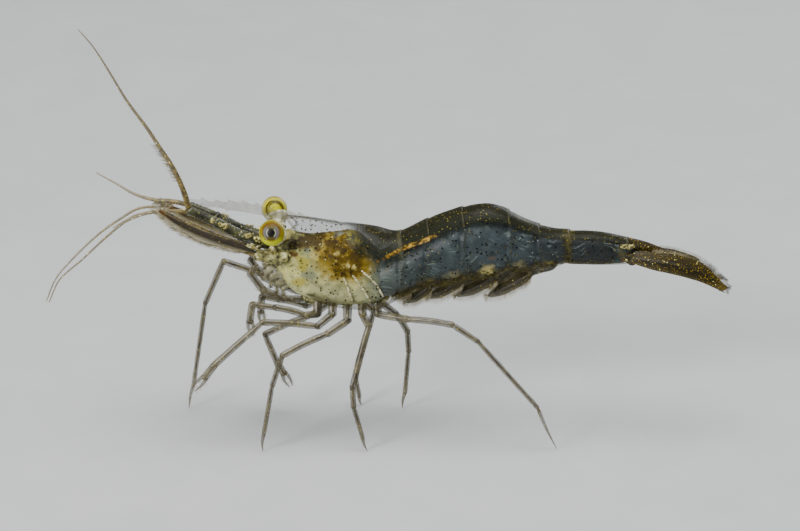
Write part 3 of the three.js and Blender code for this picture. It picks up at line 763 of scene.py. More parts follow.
def chest_flesh(tree):
    """Milky cream tissue with warm patches, a mustard-brown gland and a dark band before it."""
    where = millimetres(tree)
    clouds = add(tree, "TexNoise", {"Vector": where, "Scale": 1 / 1.1, "Detail": 7.0})
    colour = add(tree, "ValToRGB", {0: clouds}, stops=[
        (0.30, "#74764a"), (0.44, "#a19e60"), (0.58, "#bdb76e"), (0.74, "#c4ae4c")])
    apart = add(tree, "SeparateXYZ", {0: where})
    # Towards the belly the flesh is mixed with a pale grey-green: partly its own greyer colour low
    # down, partly painted light that lifts the shade under the belly.
    height = add(tree, "MapRange", {0: apart.node.outputs[2], 1: 12.0, 2: 17.2})
    grey = add(tree, "ValToRGB", {0: height}, stops=[(0.05, 0.75), (0.45, 0.15), (1.0, 0.0)])
    colour = add(tree, "Mix", {0: grey, 6: colour, 7: "#bcc096"}, **COLOURS)
    torn = add(tree, "MapRange", {0: clouds, 3: -0.9, 4: 0.9})
    lean = add(tree, "MapRange", {0: apart.node.outputs[2], 1: 12.0, 2: 17.0, 3: -0.5, 4: 1.2})
    rear = add(tree, "Math", {0: apart, 1: torn}, operation="ADD")
    rear = add(tree, "Math", {0: rear, 1: lean}, operation="ADD")
    colour = wash(tree, colour, "#5d6763", rear, -3.3, -1.7)
    crumbs = add(tree, "TexNoise", {"Vector": where, "Scale": 1 / 0.5, "Detail": 6.0})
    colour = wash(tree, colour, "#7b805c", crumbs, 0.52, 0.36, 0.70)
    gland = patch(tree, where, *GLAND, 0.20)
    colour = wash(tree, colour, "#8c7206", gland, 1.45, 0.95, 0.92)
    brown = add(tree, "ValToRGB", {0: crumbs}, stops=[
        (0.30, "#2b1f00"), (0.45, "#493700"), (0.58, "#675200"), (0.68, "#8a7400"), (0.76, "#c9b648")])
    colour = wash(tree, colour, brown, gland, 1.02, 0.74)
    colour = wash(tree, colour, "#cfc98e", crumbs, 0.58, 0.70, 0.55)
    for x, z, long, tall, ragged, shade in CHEST_PATCHES:
        rim = patch(tree, where, (x, z), (long, tall), ragged)
        colour = wash(tree, colour, shade, rim, 1.1, 0.55, 0.92)
    colour, _ = dust(
        tree, where, colour, 1.0, ("#a39a1e", 0.30, 0.06, 0.32), ("#eeeeb8", 0.40, 0.06, 0.25),
        ("#080502", 0.36, 0.078, 0.45))
    grain = add(tree, "TexNoise", {"Vector": where, "Scale": 1 / 0.3, "Detail": 4.0})
    bump = add(tree, "Bump", {"Height": grain, "Distance": 0.05 * MM, "Strength": 0.55})
    return {"Base Color": colour, "Roughness": 0.5, "Specular IOR Level": 0.12, "Normal": bump,
            **SOFT_TISSUE}


flesh = finish("chest_flesh", chest_flesh)

# %% Chest flesh
# x, top, bottom, half width
CHEST = [
    (-10.7, 16.7, 15.2, 0.80), (-10.2, 16.9, 14.5, 1.05), (-9.6, 17.1, 13.6, 1.22),
    (-8.9, 17.25, 12.65, 1.38), (-8.1, 17.0, 12.0, 1.55), (-7.2, 16.85, 11.7, 1.74),
    (-6.3, 16.85, 11.45, 1.95), (-5.3, 16.95, 11.3, 2.10), (-4.4, 17.05, 11.25, 2.20),
    (-3.5, 16.95, 11.25, 2.26), (-2.8, 16.5, 11.35, 2.26), (-2.2, 15.9, 11.5, 2.22),
    (-1.3, 15.0, 11.8, 2.12), (-0.6, 14.6, 12.3, 1.9),
]
CHEST_BELLY = (0.55, 0.6)  # squarer than the upper half


def chest_swell(x, turn):
    """Soft lumps and the crumbly gland."""
    lumps = 0.07 * noise.noise(Vector((x * 1.1, math.sin(turn) * 3, math.cos(turn) * 3)))
    height = 14.3 - 2.2 * math.cos(turn)
    (gland_x, gland_z), (wide, tall) = GLAND
    far = math.hypot((x - gland_x) / wide, (height - gland_z) / tall)
    crumbs = 0.08 * noise.noise(Vector((x * 3.2, math.sin(turn) * 7, height * 3.2)))
    return lumps + (0.03 + crumbs) * ease(far, 1.1, 0.6)


bm = new_shape()
body_skin(bm, CHEST, -10.6, -0.7, 72, 150, chest_swell, belly=CHEST_BELLY)
piece("chest_flesh", bm, flesh, "chest")

# %% [markdown]
# ## Gill edges
# Behind the gland the edges of the gills show as pale dotted lines that fan out to the rear.
# They could be painted on, but a real edge stands up and catches the light. So each is a thin
# beaded tube laid on the side of the chest flesh.

# %% Finish: gill edges
def gill_edge_look(tree):
    """Chalky white cords, broken into dashes by darker gaps."""
    breaks = add(tree, "TexNoise", {"Vector": millimetres(tree), "Scale": 1 / 0.3, "Detail": 3.0})
    colour = add(tree, "ValToRGB", {0: breaks}, stops=[
        (0.36, "#77734c"), (0.46, "#bdb784"), (0.56, "#ece7c0")])
    return {"Base Color": colour, "Roughness": 0.5}


# %% Gill edges
GILL_RELIEF = 0.075  # how far the line of an edge stands off the flesh
# x and z of a few points on each edge, and its half width
GILL_EDGES = [
    ([(-4.5, 14.1), (-4.1, 13.0), (-3.75, 11.9)], 0.100),
    ([(-3.8, 14.3), (-2.95, 13.1), (-2.35, 11.9)], 0.105),
    ([(-3.1, 14.7), (-2.0, 13.6), (-1.3, 12.3)], 0.100),
]


def on_side(table, belly, x, z, out):
    """The point at x and z just above the side of a body that a table gives."""
    top, bottom, half = between(table, x)
    middle = (top + bottom) / 2
    wide, tall = belly if z < middle else EGG
    rise = min(1.0, abs(z - middle) / ((top - bottom) / 2)) ** (1 / tall)
    return Vector((x, out * (half + GILL_RELIEF) * math.sqrt(1 - rise * rise) ** wide, z))


bm = new_shape()
for points, girth in GILL_EDGES:
    for out in SIDES.values():
        line = smooth_line([(x, 0, z) for x, z in points], 6)
        path = [on_side(CHEST, CHEST_BELLY, spot.x, spot.z, out) for spot in line]

        def beaded(share):
            return [girth * (1 - 0.45 * math.cos(40 * share) ** 4) * rounded(share, 20)] * 2

        tube(bm, path, beaded, 6, 60, UP)
piece("gill_edges", bm, finish("gill_edges", gill_edge_look), "chest")

# %% [markdown]
# ## Gut
# The gut leaves the gland as an orange string of food, slants up over the muscle and follows the
# back to the tail, where it turns olive. A curve with a round bevel would give an even string. A
# tube whose girth rises and falls along it shows the lumps of food.

# %% Finish: gut
def gut_wall(tree):
    """Orange food string that turns to dull olive and gold towards the tail."""
    where = millimetres(tree)
    run = add(tree, "MapRange", {0: add(tree, "SeparateXYZ", {0: where}), 1: 0.0, 2: 9.0})
    lumps = add(tree, "TexNoise", {"Vector": where, "Scale": 1 / 0.35, "Detail": 4.0})
    orange = add(tree, "ValToRGB", {0: lumps}, stops=[
        (0.35, "#84580c"), (0.52, "#b5851e"), (0.70, "#dcb054")])
    olive = add(tree, "ValToRGB", {0: lumps}, stops=[(0.38, "#3f3812"), (0.68, "#8a7a35")])
    tail = add(tree, "ValToRGB", {0: run}, stops=[(0.22, 0.0), (0.62, 1.0)])
    colour = add(tree, "Mix", {0: tail, 6: orange, 7: olive}, **COLOURS)
    colour, _ = dust(tree, where, colour, 1.0, ("#e8c95c", 0.3, 0.09, 0.35))
    return {"Base Color": colour, "Roughness": 0.4, "Coat Weight": 0.2, "Coat Roughness": 0.1}


# %% Gut
GUT = [
    (-2.9, 0, 14.95), (-1.6, 0, 15.3), (0.0, 0, 16.12), (1.2, 0, 16.74), (2.6, 0, 17.46),
    (4.4, 0, 18.24), (6.4, 0, 18.58), (8.5, 0, 18.28), (10.5, 0, 17.62), (12.8, 0, 17.07),
    (14.8, 0, 16.84), (17.2, 0, 16.62), (18.3, 0, 16.25),
]


def gut_girth(share):
    """Food lumps make the gut uneven; it thins towards the tail."""
    size = (0.10 + 0.13 * ease(share, 0.40, 0.20)) * (1 + 0.15 * math.sin(share * 140))
    return [size * rounded(share, 30)] * 2


bm = new_shape()
tube(bm, smooth_line(GUT), gut_girth, 12, 260)
piece("gut", bm, finish("gut", gut_wall), "shell")

# %% [markdown]
# ## Pigment heaps
# Most heaps of pigment lie so deep that they are painted on the muscle. The brightest ones stand
# up under the shell, at the root of the third swimmeret and at the base of the tail fan. They are
# balls pressed flat against both sides of the muscle and roughened by a noise.

# %% Finish: pigment
def pigment_look(tree):
    """Crumbs of yellow-white pigment with gold and dark grains, and gaps between them."""
    where = millimetres(tree)
    crumbs = add(tree, "TexNoise", {"Vector": where, "Scale": 1 / 0.22, "Detail": 4.0})
    colour = add(tree, "ValToRGB", {0: crumbs}, stops=[
        (0.34, "#47431f"), (0.46, "#8b834a"), (0.56, "#b9b068"), (0.68, "#dad394")])
    alpha = add(tree, "MapRange", {0: crumbs, 1: 0.36, 2: 0.52, 3: 0.25})
    colour, alpha = dust(
        tree, where, colour, alpha, ("#d8a92e", 0.26, 0.07, 0.45), ("#14100a", 0.34, 0.055, 0.35))
    bump = add(tree, "Bump", {"Height": crumbs, "Distance": 0.08 * MM, "Strength": 0.8})
    return {"Base Color": colour, "Alpha": alpha, "Roughness": 0.5, "Normal": bump}


pigment = finish("pigment", pigment_look)

# %% Heaps on both sides
# x, z, half length, half height
BRIGHT_HEAPS = [(6.9, 14.3, 0.55, 0.34), (18.15, 16.1, 0.55, 0.20), (18.0, 15.0, 0.22, 0.16)]
HEAP_DEPTH = 0.14  # half the thickness of a heap

bm = new_shape()
for x, z, long, tall in BRIGHT_HEAPS:
    top, bottom, half = between(MUSCLE, x)
    rise = min(1.0, abs(z - (top + bottom) / 2) / ((top - bottom) / 2))
    for out in SIDES.values():
        y = out * (half * (1 - rise ** 2.4) ** 0.45 - 0.02)
        lump(bm, (x, y, z), (long, HEAP_DEPTH, tall), 0.16, 3.0)
piece("pigment_patches", bm, pigment, "tail")

# %% [markdown]
# ## Eyes on stalks
# Each eye is a ball of facets on a short stalk that ends in a cup. Under the clear cornea lies
# golden pigment, and where the facets look straight out, the pigment seems to open on a dark
# spot with pale rings round it, and beside the spot two white arcs are painted highlights. One
# ball with the rings on its face would look like a painted bead. So the eye is two balls: a clear
# one outside and, a little below it, one whose colours follow the angle from the spot.

# %% Finish: cornea
FACET = 0.07  # drawn about three times as wide as a real facet, so that it shows


def cornea_look(tree):
    """Wet clear cornea: the barest breath of gold over the pigment, pebbled by its facets."""
    facets = add(tree, "TexVoronoi", {"Vector": millimetres(tree), "Scale": 1 / FACET}, "Distance")
    shade = add(tree, "MapRange", {0: facets, 1: 0.0, 2: 0.6, 3: 0.02, 4: 0.0})
    bump = add(tree, "Bump", {"Height": facets, "Distance": 0.006 * MM, "Strength": 0.3})
    return {"Base Color": "#c9b04a", "Alpha": shade, "Roughness": 0.12, "IOR": 1.35,
            "Specular IOR Level": 0.25, "Coat Weight": 0.10, "Coat Roughness": 0.03, "Normal": bump}


cornea = finish("cornea", cornea_look)

# %% Finish: eye pigment
def facing(tree, unit, look):
    """Where a point of the ball lies as seen along look, and how far from the middle."""
    level = look.cross(UP).normalized()
    upright = level.cross(look)
    front, aside, above = (
        add(tree, "VectorMath", {0: unit, 1: way}, "Value", operation="DOT_PRODUCT")
        for way in (look, level, upright))
    flat = add(tree, "CombineXYZ", {0: aside, 1: above})
    ring = add(tree, "VectorMath", {0: flat}, "Value", operation="LENGTH")
    return front, aside, above, flat, ring


def outer_face(tree, unit, look, grain):
    """Rings seen end on: a black oval, white arcs of painted highlight beside it, lavender, then orange
    and yellow.
    """
    front, aside, above, flat, ring = facing(tree, unit, look)
    beside = add(tree, "Math", {0: aside}, operation="ABSOLUTE")
    wobble = add(tree, "Math", {0: ring, 1: grain}, operation="ADD")
    wing = add(tree, "ValToRGB", {0: wobble}, stops=[
        (0.16, "#0b0a05"), (0.27, "#232214"), (0.40, "#4e4c44"), (0.54, "#67636a"), (0.66, "#5f5734")])
    brow = add(tree, "ValToRGB", {0: wobble}, stops=[
        (0.22, "#0e0d06"), (0.36, "#36331a"), (0.46, "#57521c"), (0.56, "#4a3406"), (0.66, "#6e5200")])
    colour = wash(tree, brow, wing, beside, 0.22, 0.40)
    gold = add(tree, "ValToRGB", {0: wobble}, stops=[
        (0.60, "#553c00"), (0.72, "#7f6a00"), (0.83, "#988a00"), (0.90, "#6a5a06"), (0.96, "#a89f3a")])
    gold = wash(tree, gold, "#bcc200", above, -0.20, -0.62, 0.9)
    arch = add(tree, "ValToRGB", {0: ring}, stops=[(0.56, 0.5), (0.66, 0.9), (0.78, 0.8), (0.90, 0.0)])
    high = add(tree, "MapRange", {0: above, 1: 0.05, 2: 0.40})
    arch = add(tree, "Math", {0: arch, 1: high}, operation="MULTIPLY")
    gold = add(tree, "Mix", {0: arch, 6: gold, 7: "#523400"}, **COLOURS)
    colour = wash(tree, colour, gold, wobble, 0.56, 0.74)
    # Painted highlights: two white arcs either side of the dark oval, where light glints on the eye.
    arc = add(tree, "ValToRGB", {0: ring}, stops=[(0.30, 0.0), (0.33, 0.65), (0.36, 0.65), (0.40, 0.0)])
    wide = add(tree, "MapRange", {0: beside, 1: 0.17, 2: 0.27})
    arc = add(tree, "Math", {0: arc, 1: wide}, operation="MULTIPLY")
    colour = add(tree, "Mix", {0: arc, 6: colour, 7: "#bcc2b4"}, **COLOURS)
    narrow = add(tree, "VectorMath", {0: flat, 1: (1.45, 1.0, 0.0)}, operation="MULTIPLY")
    oval = add(tree, "VectorMath", {0: narrow}, "Value", operation="LENGTH")
    hole = add(tree, "MapRange", {0: oval, 1: 0.34, 2: 0.20})
    colour = add(tree, "Mix", {0: hole, 6: colour, 7: "#010101"}, **COLOURS)
    return colour, front, hole


# radius of each broken black arc, which way it lies and how far that way it starts
ARCS = [(0.50, (0.0, 1.0), 0.10), (0.62, (-0.6, 0.8), 0.25), (0.66, (1.0, 0.2), 0.20)]


def inner_face(tree, unit, look, grain):
    """The side turned to the body: a lemon dome with broken black arcs and a chalky foot."""
    _, aside, above, flat, ring = facing(tree, unit, look)
    colour = add(tree, "ValToRGB", {0: ring}, stops=[
        (0.00, "#b9b400"), (0.35, "#a8a400"), (0.62, "#6f6400"), (0.78, "#a9a020"), (0.95, "#c9c470")])
    colour = wash(tree, colour, "#b4b89c", above, -0.25, -0.50, 0.9)
    for radius, way, least in ARCS:
        wobble = add(tree, "Math", {0: ring, 1: grain}, operation="ADD")
        off = add(tree, "Math", {0: wobble, 1: radius}, operation="SUBTRACT")
        off = add(tree, "Math", {0: off}, operation="ABSOLUTE")
        arc = add(tree, "MapRange", {0: off, 1: 0.065, 2: 0.030})
        lies = add(tree, "VectorMath", {0: flat, 1: (*way, 0.0)}, "Value", operation="DOT_PRODUCT")
        there = add(tree, "MapRange", {0: lies, 1: least, 2: least + 0.15, 4: 0.9})
        arc = add(tree, "Math", {0: arc, 1: there}, operation="MULTIPLY")
        colour = add(tree, "Mix", {0: arc, 6: colour, 7: "#070602"}, **COLOURS)
    return colour


def eye_pigment(side):
    """The look of one eye: golden, with rings round a dark upright spot that looks outwards."""
    out = SIDES[side]
    outwards = Vector((-0.05, out * math.cos(ELEVATION), math.sin(ELEVATION))).normalized()
    inwards = Vector((0.05, -out * math.cos(ELEVATION), math.sin(ELEVATION))).normalized()

    def look(tree):
        where = millimetres(tree)
        centred = add(tree, "VectorMath", {0: where, 1: EYES[side]}, operation="SUBTRACT")
        unit = add(tree, "VectorMath", {0: centred}, operation="NORMALIZE")
        grain = add(tree, "TexNoise", {"Vector": where, "Scale": 1 / 0.3, "Detail": 4.0})
        grain = add(tree, "MapRange", {0: grain, 3: -0.06, 4: 0.06})
        seen, front, hole = outer_face(tree, unit, outwards, grain)
        turned = add(tree, "MapRange", {0: front, 1: 0.04, 2: -0.10})
        unseen = inner_face(tree, unit, inwards, grain)
        colour = add(tree, "Mix", {0: turned, 6: seen, 7: unseen}, **COLOURS)
        brown = add(tree, "MapRange", {0: hole, 3: 0.30, 4: 0.0})
        colour, _ = dust(tree, where, colour, 1.0, ("#3a2600", 0.22, 0.055, brown))
        return {"Base Color": colour, "Roughness": 0.45, "Specular IOR Level": 0.2}

    return look


# %% [markdown]
# ## Soft skin of the head
# Round the eyes, the mouth and the roots of the feelers the shell is thin and the skin below it is
# full of crumbs of pigment. It is milky rather than clear, so light spreads in it a little, and a
# strong bump makes it crumbly. The eyestalks have a paler sort of it.

# %% Finish: soft skin of the head
def soft_skin(*shades):
    """Milky half-clear skin, with crumbs of gold and white pigment and dark specks."""
    def look(tree):
        where = millimetres(tree)
        clouds = add(tree, "TexNoise", {"Vector": where, "Scale": 1 / 0.4, "Detail": 6.0})
        colour = add(tree, "ValToRGB", {0: clouds}, stops=list(zip((0.36, 0.46, 0.56, 0.66), shades)))
        colour, _ = dust(
            tree, where, colour, 1.0, ("#a39a1e", 0.24, 0.07, 0.45), ("#f0f0c8", 0.30, 0.08, 0.40),
            ("#080604", 0.34, 0.065, 0.40))
        grain = add(tree, "TexNoise", {"Vector": where, "Scale": 1 / 0.22, "Detail": 4.0})
        bump = add(tree, "Bump", {"Height": grain, "Distance": 0.10 * MM, "Strength": 0.9})
        return {"Base Color": colour, "Roughness": 0.4, "Specular IOR Level": 0.3, "Normal": bump,
                **SOFT_TISSUE}

    return look


skin_finish = finish("soft_skin", soft_skin("#2b2914", "#6b673e", "#a19c68", "#d6d2a0"))
stalk_finish = finish("stalk_skin", soft_skin("#6a6a50", "#969478", "#b9b99c", "#d8d8c2"))

# %% Eyes and stalks
STALK_ROOT = (-9.55, 0.95, 17.2)  # x, distance from the middle, z
CUP_DEPTH = 0.62  # from the middle of the eye back to the middle of its cup
PIGMENT_SHARE = 0.96  # the radius of the pigment ball as a share of the eye's


def ball(bm, centre, radius):
    """A ball of rows and columns."""
    bmesh.ops.create_uvsphere(
        bm, u_segments=48, v_segments=32, radius=radius, matrix=Matrix.Translation(centre),
        calc_uvs=True)


def stalk_girth(share):
    """Narrow at the root, then a cup that holds the eye."""
    size = 0.46 + 0.46 * ease(share, 0.25, 0.95) - 0.06 * hump(share, 0.2, 0.1)
    return [size * rounded(share, 24)] * 2


for side, out in SIDES.items():
    bm = new_shape()
    ball(bm, EYES[side], EYE_RADIUS)
    piece(f"eye_{side}", bm, cornea, "eye", f"eye_{side}")
    bm = new_shape()
    ball(bm, EYES[side], EYE_RADIUS * PIGMENT_SHARE)
    piece(f"eye_pigment_{side}", bm, finish(f"eye_pigment_{side}", eye_pigment(side)), "eye")
    root, = mirrored([STALK_ROOT], out)
    ahead = (EYES[side] - root).normalized()
    cup = EYES[side] - ahead * CUP_DEPTH
    bm = new_shape()
    tube(bm, [root - ahead * 0.25, (root + cup) / 2, cup], stalk_girth, 32, 40, UP)
    piece(f"eyestalk_{side}", bm, stalk_finish, "chest", f"eyestalk_{side}")

# %% [markdown]
# ## Beak
# The rostrum is a thin clear blade that goes on from the ridge of the back, over the eyes and
# between the feelers. Its edges are saws, above and below. The blade could be cut from a plate,
# but its edges are sharp and its middle is thicker. So a ring of points is drawn out to the shape
# of a lens and carried along the blade, and the teeth lift it where they stand.

# %% Finish: horn blade
def horn_look(tree):
    """Horn-clear blade, greyer than the shell, with brown clouds and a few specks."""
    where = millimetres(tree)
    clouds = add(tree, "TexNoise", {"Vector": where, "Scale": 1 / 0.8, "Detail": 4.0})
    colour = add(tree, "ValToRGB", {0: clouds}, stops=[(0.35, "#4d4836"), (0.65, "#857f68")])
    alpha = add(tree, "MapRange", {0: clouds, 1: 0.3, 2: 0.7, 3: 0.12, 4: 0.30})
    colour, alpha = dust(
        tree, where, colour, alpha, ("#120f0a", 0.36, 0.05, 0.40), ("#b8a04c", 0.4, 0.07, 0.25))
    return {"Base Color": colour, "Alpha": alpha, "Roughness": 0.3, "IOR": 1.5,
            "Coat Weight": 0.1, "Coat Roughness": 0.1}


# %% Beak
# x of its heel on the back, of the place where it leaves the head, and of its tip
BEAK_HEEL, BEAK_ROOT, BEAK_TIP = -7.3, -9.35, -16.9
BEAK_REACH = BEAK_TIP - BEAK_ROOT
# the height of its upper edge at the root, where its arch ends and at the tip
ROOT_HEIGHT, BRIDGE_HEIGHT, TIP_HEIGHT = 18.72, 19.67, 19.95
# x of the points of the teeth, then the length and the height of a tooth
UPPER_TEETH = ([-8.1, -8.9] + [BEAK_ROOT + BEAK_REACH * 0.86 * i / 6 for i in range(1, 7)], 0.62, 0.24)
LOWER_TEETH = ([BEAK_ROOT + BEAK_REACH * share for share in (0.6, 0.8)], 0.5, 0.16)
TOOTH_FRONT = 0.08  # the length of a tooth's steep side


def crest(x):
    """The blade's upper edge without its teeth."""
    if x > BEAK_ROOT:
        lift = ease(x, BEAK_HEEL, BEAK_ROOT)
        back = between(TRUNK, max(x, TRUNK[0][0]))[0]
        return back * (1 - lift) + ROOT_HEIGHT * lift + 0.04
    arch = math.sin(math.pi / 2 * min(1.0, (BEAK_ROOT - x) / 4.2))
    rise = ROOT_HEIGHT + (BRIDGE_HEIGHT - ROOT_HEIGHT) * arch
    return rise + (TIP_HEIGHT - BRIDGE_HEIGHT) * ease(x, -14.5, BEAK_TIP)


def keel(x):
    """The blade's lower edge without its teeth."""
    if x > BEAK_ROOT:
        return crest(x) - 0.14 - 0.46 * ease(x, BEAK_HEEL, BEAK_ROOT)
    share = (x - BEAK_ROOT) / BEAK_REACH
    return min(18.12 + 1.45 * share ** 0.9 + 0.3 * ease(share, 0.85, 1.0), crest(x) - 0.03)


def saw(x, teeth, run, height):
    """The height of a row of forward-pointing teeth at x."""
    best = 0.0
    for point in teeth:
        gone = x - point
        if 0 <= gone < run:
            best = max(best, height * (1 - gone / run) ** 1.3)
        elif -TOOTH_FRONT < gone < 0:
            best = max(best, height * (1 + gone / TOOTH_FRONT))
    return best


def beak_point(u, v):
    """A point of the blade, from its heel on the back to its tip."""
    x = BEAK_HEEL + (BEAK_TIP - BEAK_HEEL) * v
    top = crest(x) + saw(x, *UPPER_TEETH)
    bottom = keel(x) - saw(x, *LOWER_TEETH)
    turn = TAU * u
    thick = (0.20 - 0.15 * v) * rounded(v, 30)
    height = (top - bottom) / 2 * min(1.0, (1 - v) / 0.015)
    y = thick * math.sin(turn) * abs(math.sin(turn)) ** 0.6
    return Vector((x, y, (top + bottom) / 2 + height * math.cos(turn)))


bm = new_shape()
close_seams(bm, sheet(bm, 16, 320, beak_point))
piece("rostrum", bm, finish("horn", horn_look), "shell", "rostrum")

# %% [markdown]
# ## Hairs
# Stiff hairs, called setae, fringe every paddle and brush every mouth limb. Blender's hair curves
# would be quicker to comb, but a museum model has hairs one can touch, so these are solid. A
# shrimp has thousands, so each is a three-sided spindle with few faces. All hairs of a piece come
# from one tall grid: it is cut into lengths, and each length is rolled to a hair. Each hair also
# has a tiny patch of its own on a map of the skin it stands on, which a baked picture needs.

# %% Planting hairs
TILES = 8  # the map has 8 by 8 places for skins
HAIR_SIDES = 3
HAIR_PATCH = 0.003  # the width of a hair's own patch on the map
# the share of a hair's length and of its thickness at each of its rings
HAIR_RINGS = [(0.0, 0.0), (0.05, 1.0), (0.4, 0.8), (0.75, 0.45), (1.0, 0.0)]
ALL_ROUND = (0, 1)

hairs_of = {}
tiles_of = {}


def plant(group, roots, length, thick, bend=(0, 0, 0), stray=0.12):
    """Plants one hair at each root: a place, the way it points, and its shares on its skin."""
    hairs = hairs_of.setdefault(group, [])
    tile = tiles_of[group] = tiles_of.get(group, -1) + 1
    dice = random.Random(f"{group} {tile}")
    for place, way, (u, v) in roots:
        loose = Vector([dice.uniform(-stray, stray) for _ in range(3)])
        reach = (way.normalized() + loose) * length * dice.uniform(0.75, 1.1)
        home = (tile % TILES + u) / TILES, (tile // TILES % TILES + v) / TILES
        hairs.append((place, reach, Vector(bend) * length, thick, home))


def hair_piece(name, material, slot):
    """Joins the hairs planted under a name in one mesh."""
    hairs, rings = hairs_of[name], len(HAIR_RINGS)
    last = len(hairs) * rings - 1
    bm = new_shape("OFBake")
    layer = bm.loops.layers.uv.active
    made = bmesh.ops.create_grid(bm, x_segments=HAIR_SIDES, y_segments=last, size=0.5)["verts"]
    gaps = []
    for face in bm.faces:
        number, ring = divmod(int((face.calc_center_median().y + 0.5) * last), rings)
        if ring == rings - 1:
            gaps.append(face)
            continue
        u, v = hairs[number][4]
        for loop in face.loops:
            row = (loop.vert.co.y + 0.5) * last - number * rings
            loop[layer].uv = (u + HAIR_PATCH * loop.vert.co.x, v + HAIR_PATCH * row / rings)
    for point in made:
        number, ring = divmod(round((point.co.y + 0.5) * last), rings)
        place, reach, bend, thick, _ = hairs[number]
        share, fat = HAIR_RINGS[ring]
        across = reach.orthogonal().normalized()
        turn = TAU * (point.co.x + 0.5)
        around = across * math.cos(turn) + reach.cross(across).normalized() * math.sin(turn)
        point.co = place + reach * share + bend * share ** 2 + around * thick * fat
    bmesh.ops.delete(bm, geom=gaps, context="FACES")
    close_seams(bm, list(bm.verts))
    print(f"{len(hairs)} hairs on {tiles_of[name] + 1} skins")
    return piece(name, bm, material, slot)


def brush(group, skin, count, start, end, turns, length, thick=0.014, lean=0.8, **how):
    """Plants hairs on a tube between two shares of its length and two shares of a turn."""
    dice = random.Random(f"{group} {count} {start} {length}")
    roots = []
    for i in range(count):
        u, v = dice.uniform(*turns) % 1.0, start + (end - start) * (i + dice.random()) / count
        place, out, ahead = skin(u, v)
        roots.append((place - out * 0.15, out.normalized() + ahead * lean, (u, v)))
    plant(group, roots, length, thick, **how)


# %% Finish: setae
def seta_look(dark, middle, pale):
    """Fine bristles of chitin, uneven in colour from hair to hair."""
    def look(tree):
        mixed = add(tree, "TexNoise", {"Vector": millimetres(tree), "Scale": 1 / 0.5, "Detail": 3.0})
        colour = add(tree, "ValToRGB", {0: mixed}, stops=[(0.35, dark), (0.52, middle), (0.68, pale)])
        return {"Base Color": colour, "Alpha": 0.85, "Roughness": 0.35, "Coat Weight": 0.2}

    return look


straw_setae = finish("setae", seta_look("#6b6244", "#998f6c", "#cdc6aa"))
white_setae = finish("white_setae", seta_look("#a9adb0", "#d5dade", "#f2f5f7"))

# %% [markdown]
# ## Limb lengths
# A leg is a chain of stiff lengths. Each starts a little narrower in the one before, fills out and
# ends in a low cuff, and its round ends nest in its neighbours, so that the chain stays one limb.
# The skin is clear enough to show the muscle inside. Paint can't show that depth, so every length
# is made twice, as a skin and as a thin core.

# %% Finish: limb skin and limb muscle
GOLD_FRONT = -13.4  # in front of it, half way along the nose, the crumbs are denser


def limb_look(low_colour, high_colour, film, gold, crumbly):
    """Half-clear cuticle, browner at the joints, with fine gold, pale and black specks.

    film is how much the clear part of the skin hides. gold gives the share of gold crumbs behind
    GOLD_FRONT and before it, and crumbly how rough the skin is.
    """
    def look(tree):
        where = millimetres(tree)
        _, along = layout(tree)
        clouds = add(tree, "TexNoise", {"Vector": where, "Scale": 1 / 0.9, "Detail": 5.0})
        colour = add(tree, "ValToRGB", {0: clouds}, stops=[(0.36, low_colour), (0.64, high_colour)])
        joint = add(tree, "ValToRGB", {0: along}, stops=[
            (0.02, 0.8), (0.10, 0.15), (0.18, 0.0), (0.84, 0.0), (0.92, 0.2), (0.98, 0.8)])
        colour = add(tree, "Mix", {0: joint, 6: colour, 7: "#553a12"}, **COLOURS)
        alpha = add(tree, "MapRange", {0: joint, 3: film, 4: 0.85})
        thick = add(tree, "MapRange", {0: clouds, 1: 0.35, 2: 0.65, 3: 0.8, 4: 1.25})
        alpha = add(tree, "Math", {0: alpha, 1: thick}, operation="MULTIPLY", use_clamp=True)
        run = add(tree, "SeparateXYZ", {0: where})
        golden = add(tree, "MapRange", {
            0: run, 1: GOLD_FRONT, 2: GOLD_FRONT - 0.6, 3: gold[0], 4: gold[1]})
        colour, alpha = dust(
            tree, where, colour, alpha, ("#9c9434", 0.24, 0.065, golden),
            ("#e2e2bc", 0.36, 0.075, 0.25 + 0.2 * crumbly), ("#0c0906", 0.36, 0.055, 0.32))
        bump = add(tree, "Bump", {"Height": clouds, "Distance": 0.10 * MM, "Strength": crumbly})
        return {"Base Color": colour, "Alpha": alpha, "Roughness": 0.28 + 0.16 * crumbly,
                "IOR": 1.54, "Specular IOR Level": 0.4, "Coat Weight": 0.15, "Coat Roughness": 0.15,
                "Normal": bump}

    return look


def limb_flesh(tree):
    """Thin strands of muscle and blood, brown-grey, seen through the skin."""
    where = millimetres(tree)
    clouds = add(tree, "TexNoise", {"Vector": where, "Scale": 1 / 0.6, "Detail": 3.0})
    colour = add(tree, "ValToRGB", {0: clouds}, stops=[(0.36, "#2c2618"), (0.64, "#6a5d40")])
    return {"Base Color": colour, "Roughness": 0.5}


limb_skin = finish("limb_chitin", limb_look("#3c3828", "#736c52", 0.55, (0.22, 0.22), 0.1))
stem_skin = finish("stem_chitin", limb_look("#1d2115", "#484a31", 0.74, (0.45, 0.80), 0.9))
mouth_skin = finish("mouth_chitin", limb_look("#7c795c", "#bab796", 0.50, (0.30, 0.30), 0.15))
cores = new_shape()

# %% Lengths of a limb
CORE_SHARE = 0.38  # the half width of a core as a share of its skin's
NEST = 0.8  # how deep a round end goes into the next length, as a share of its half width


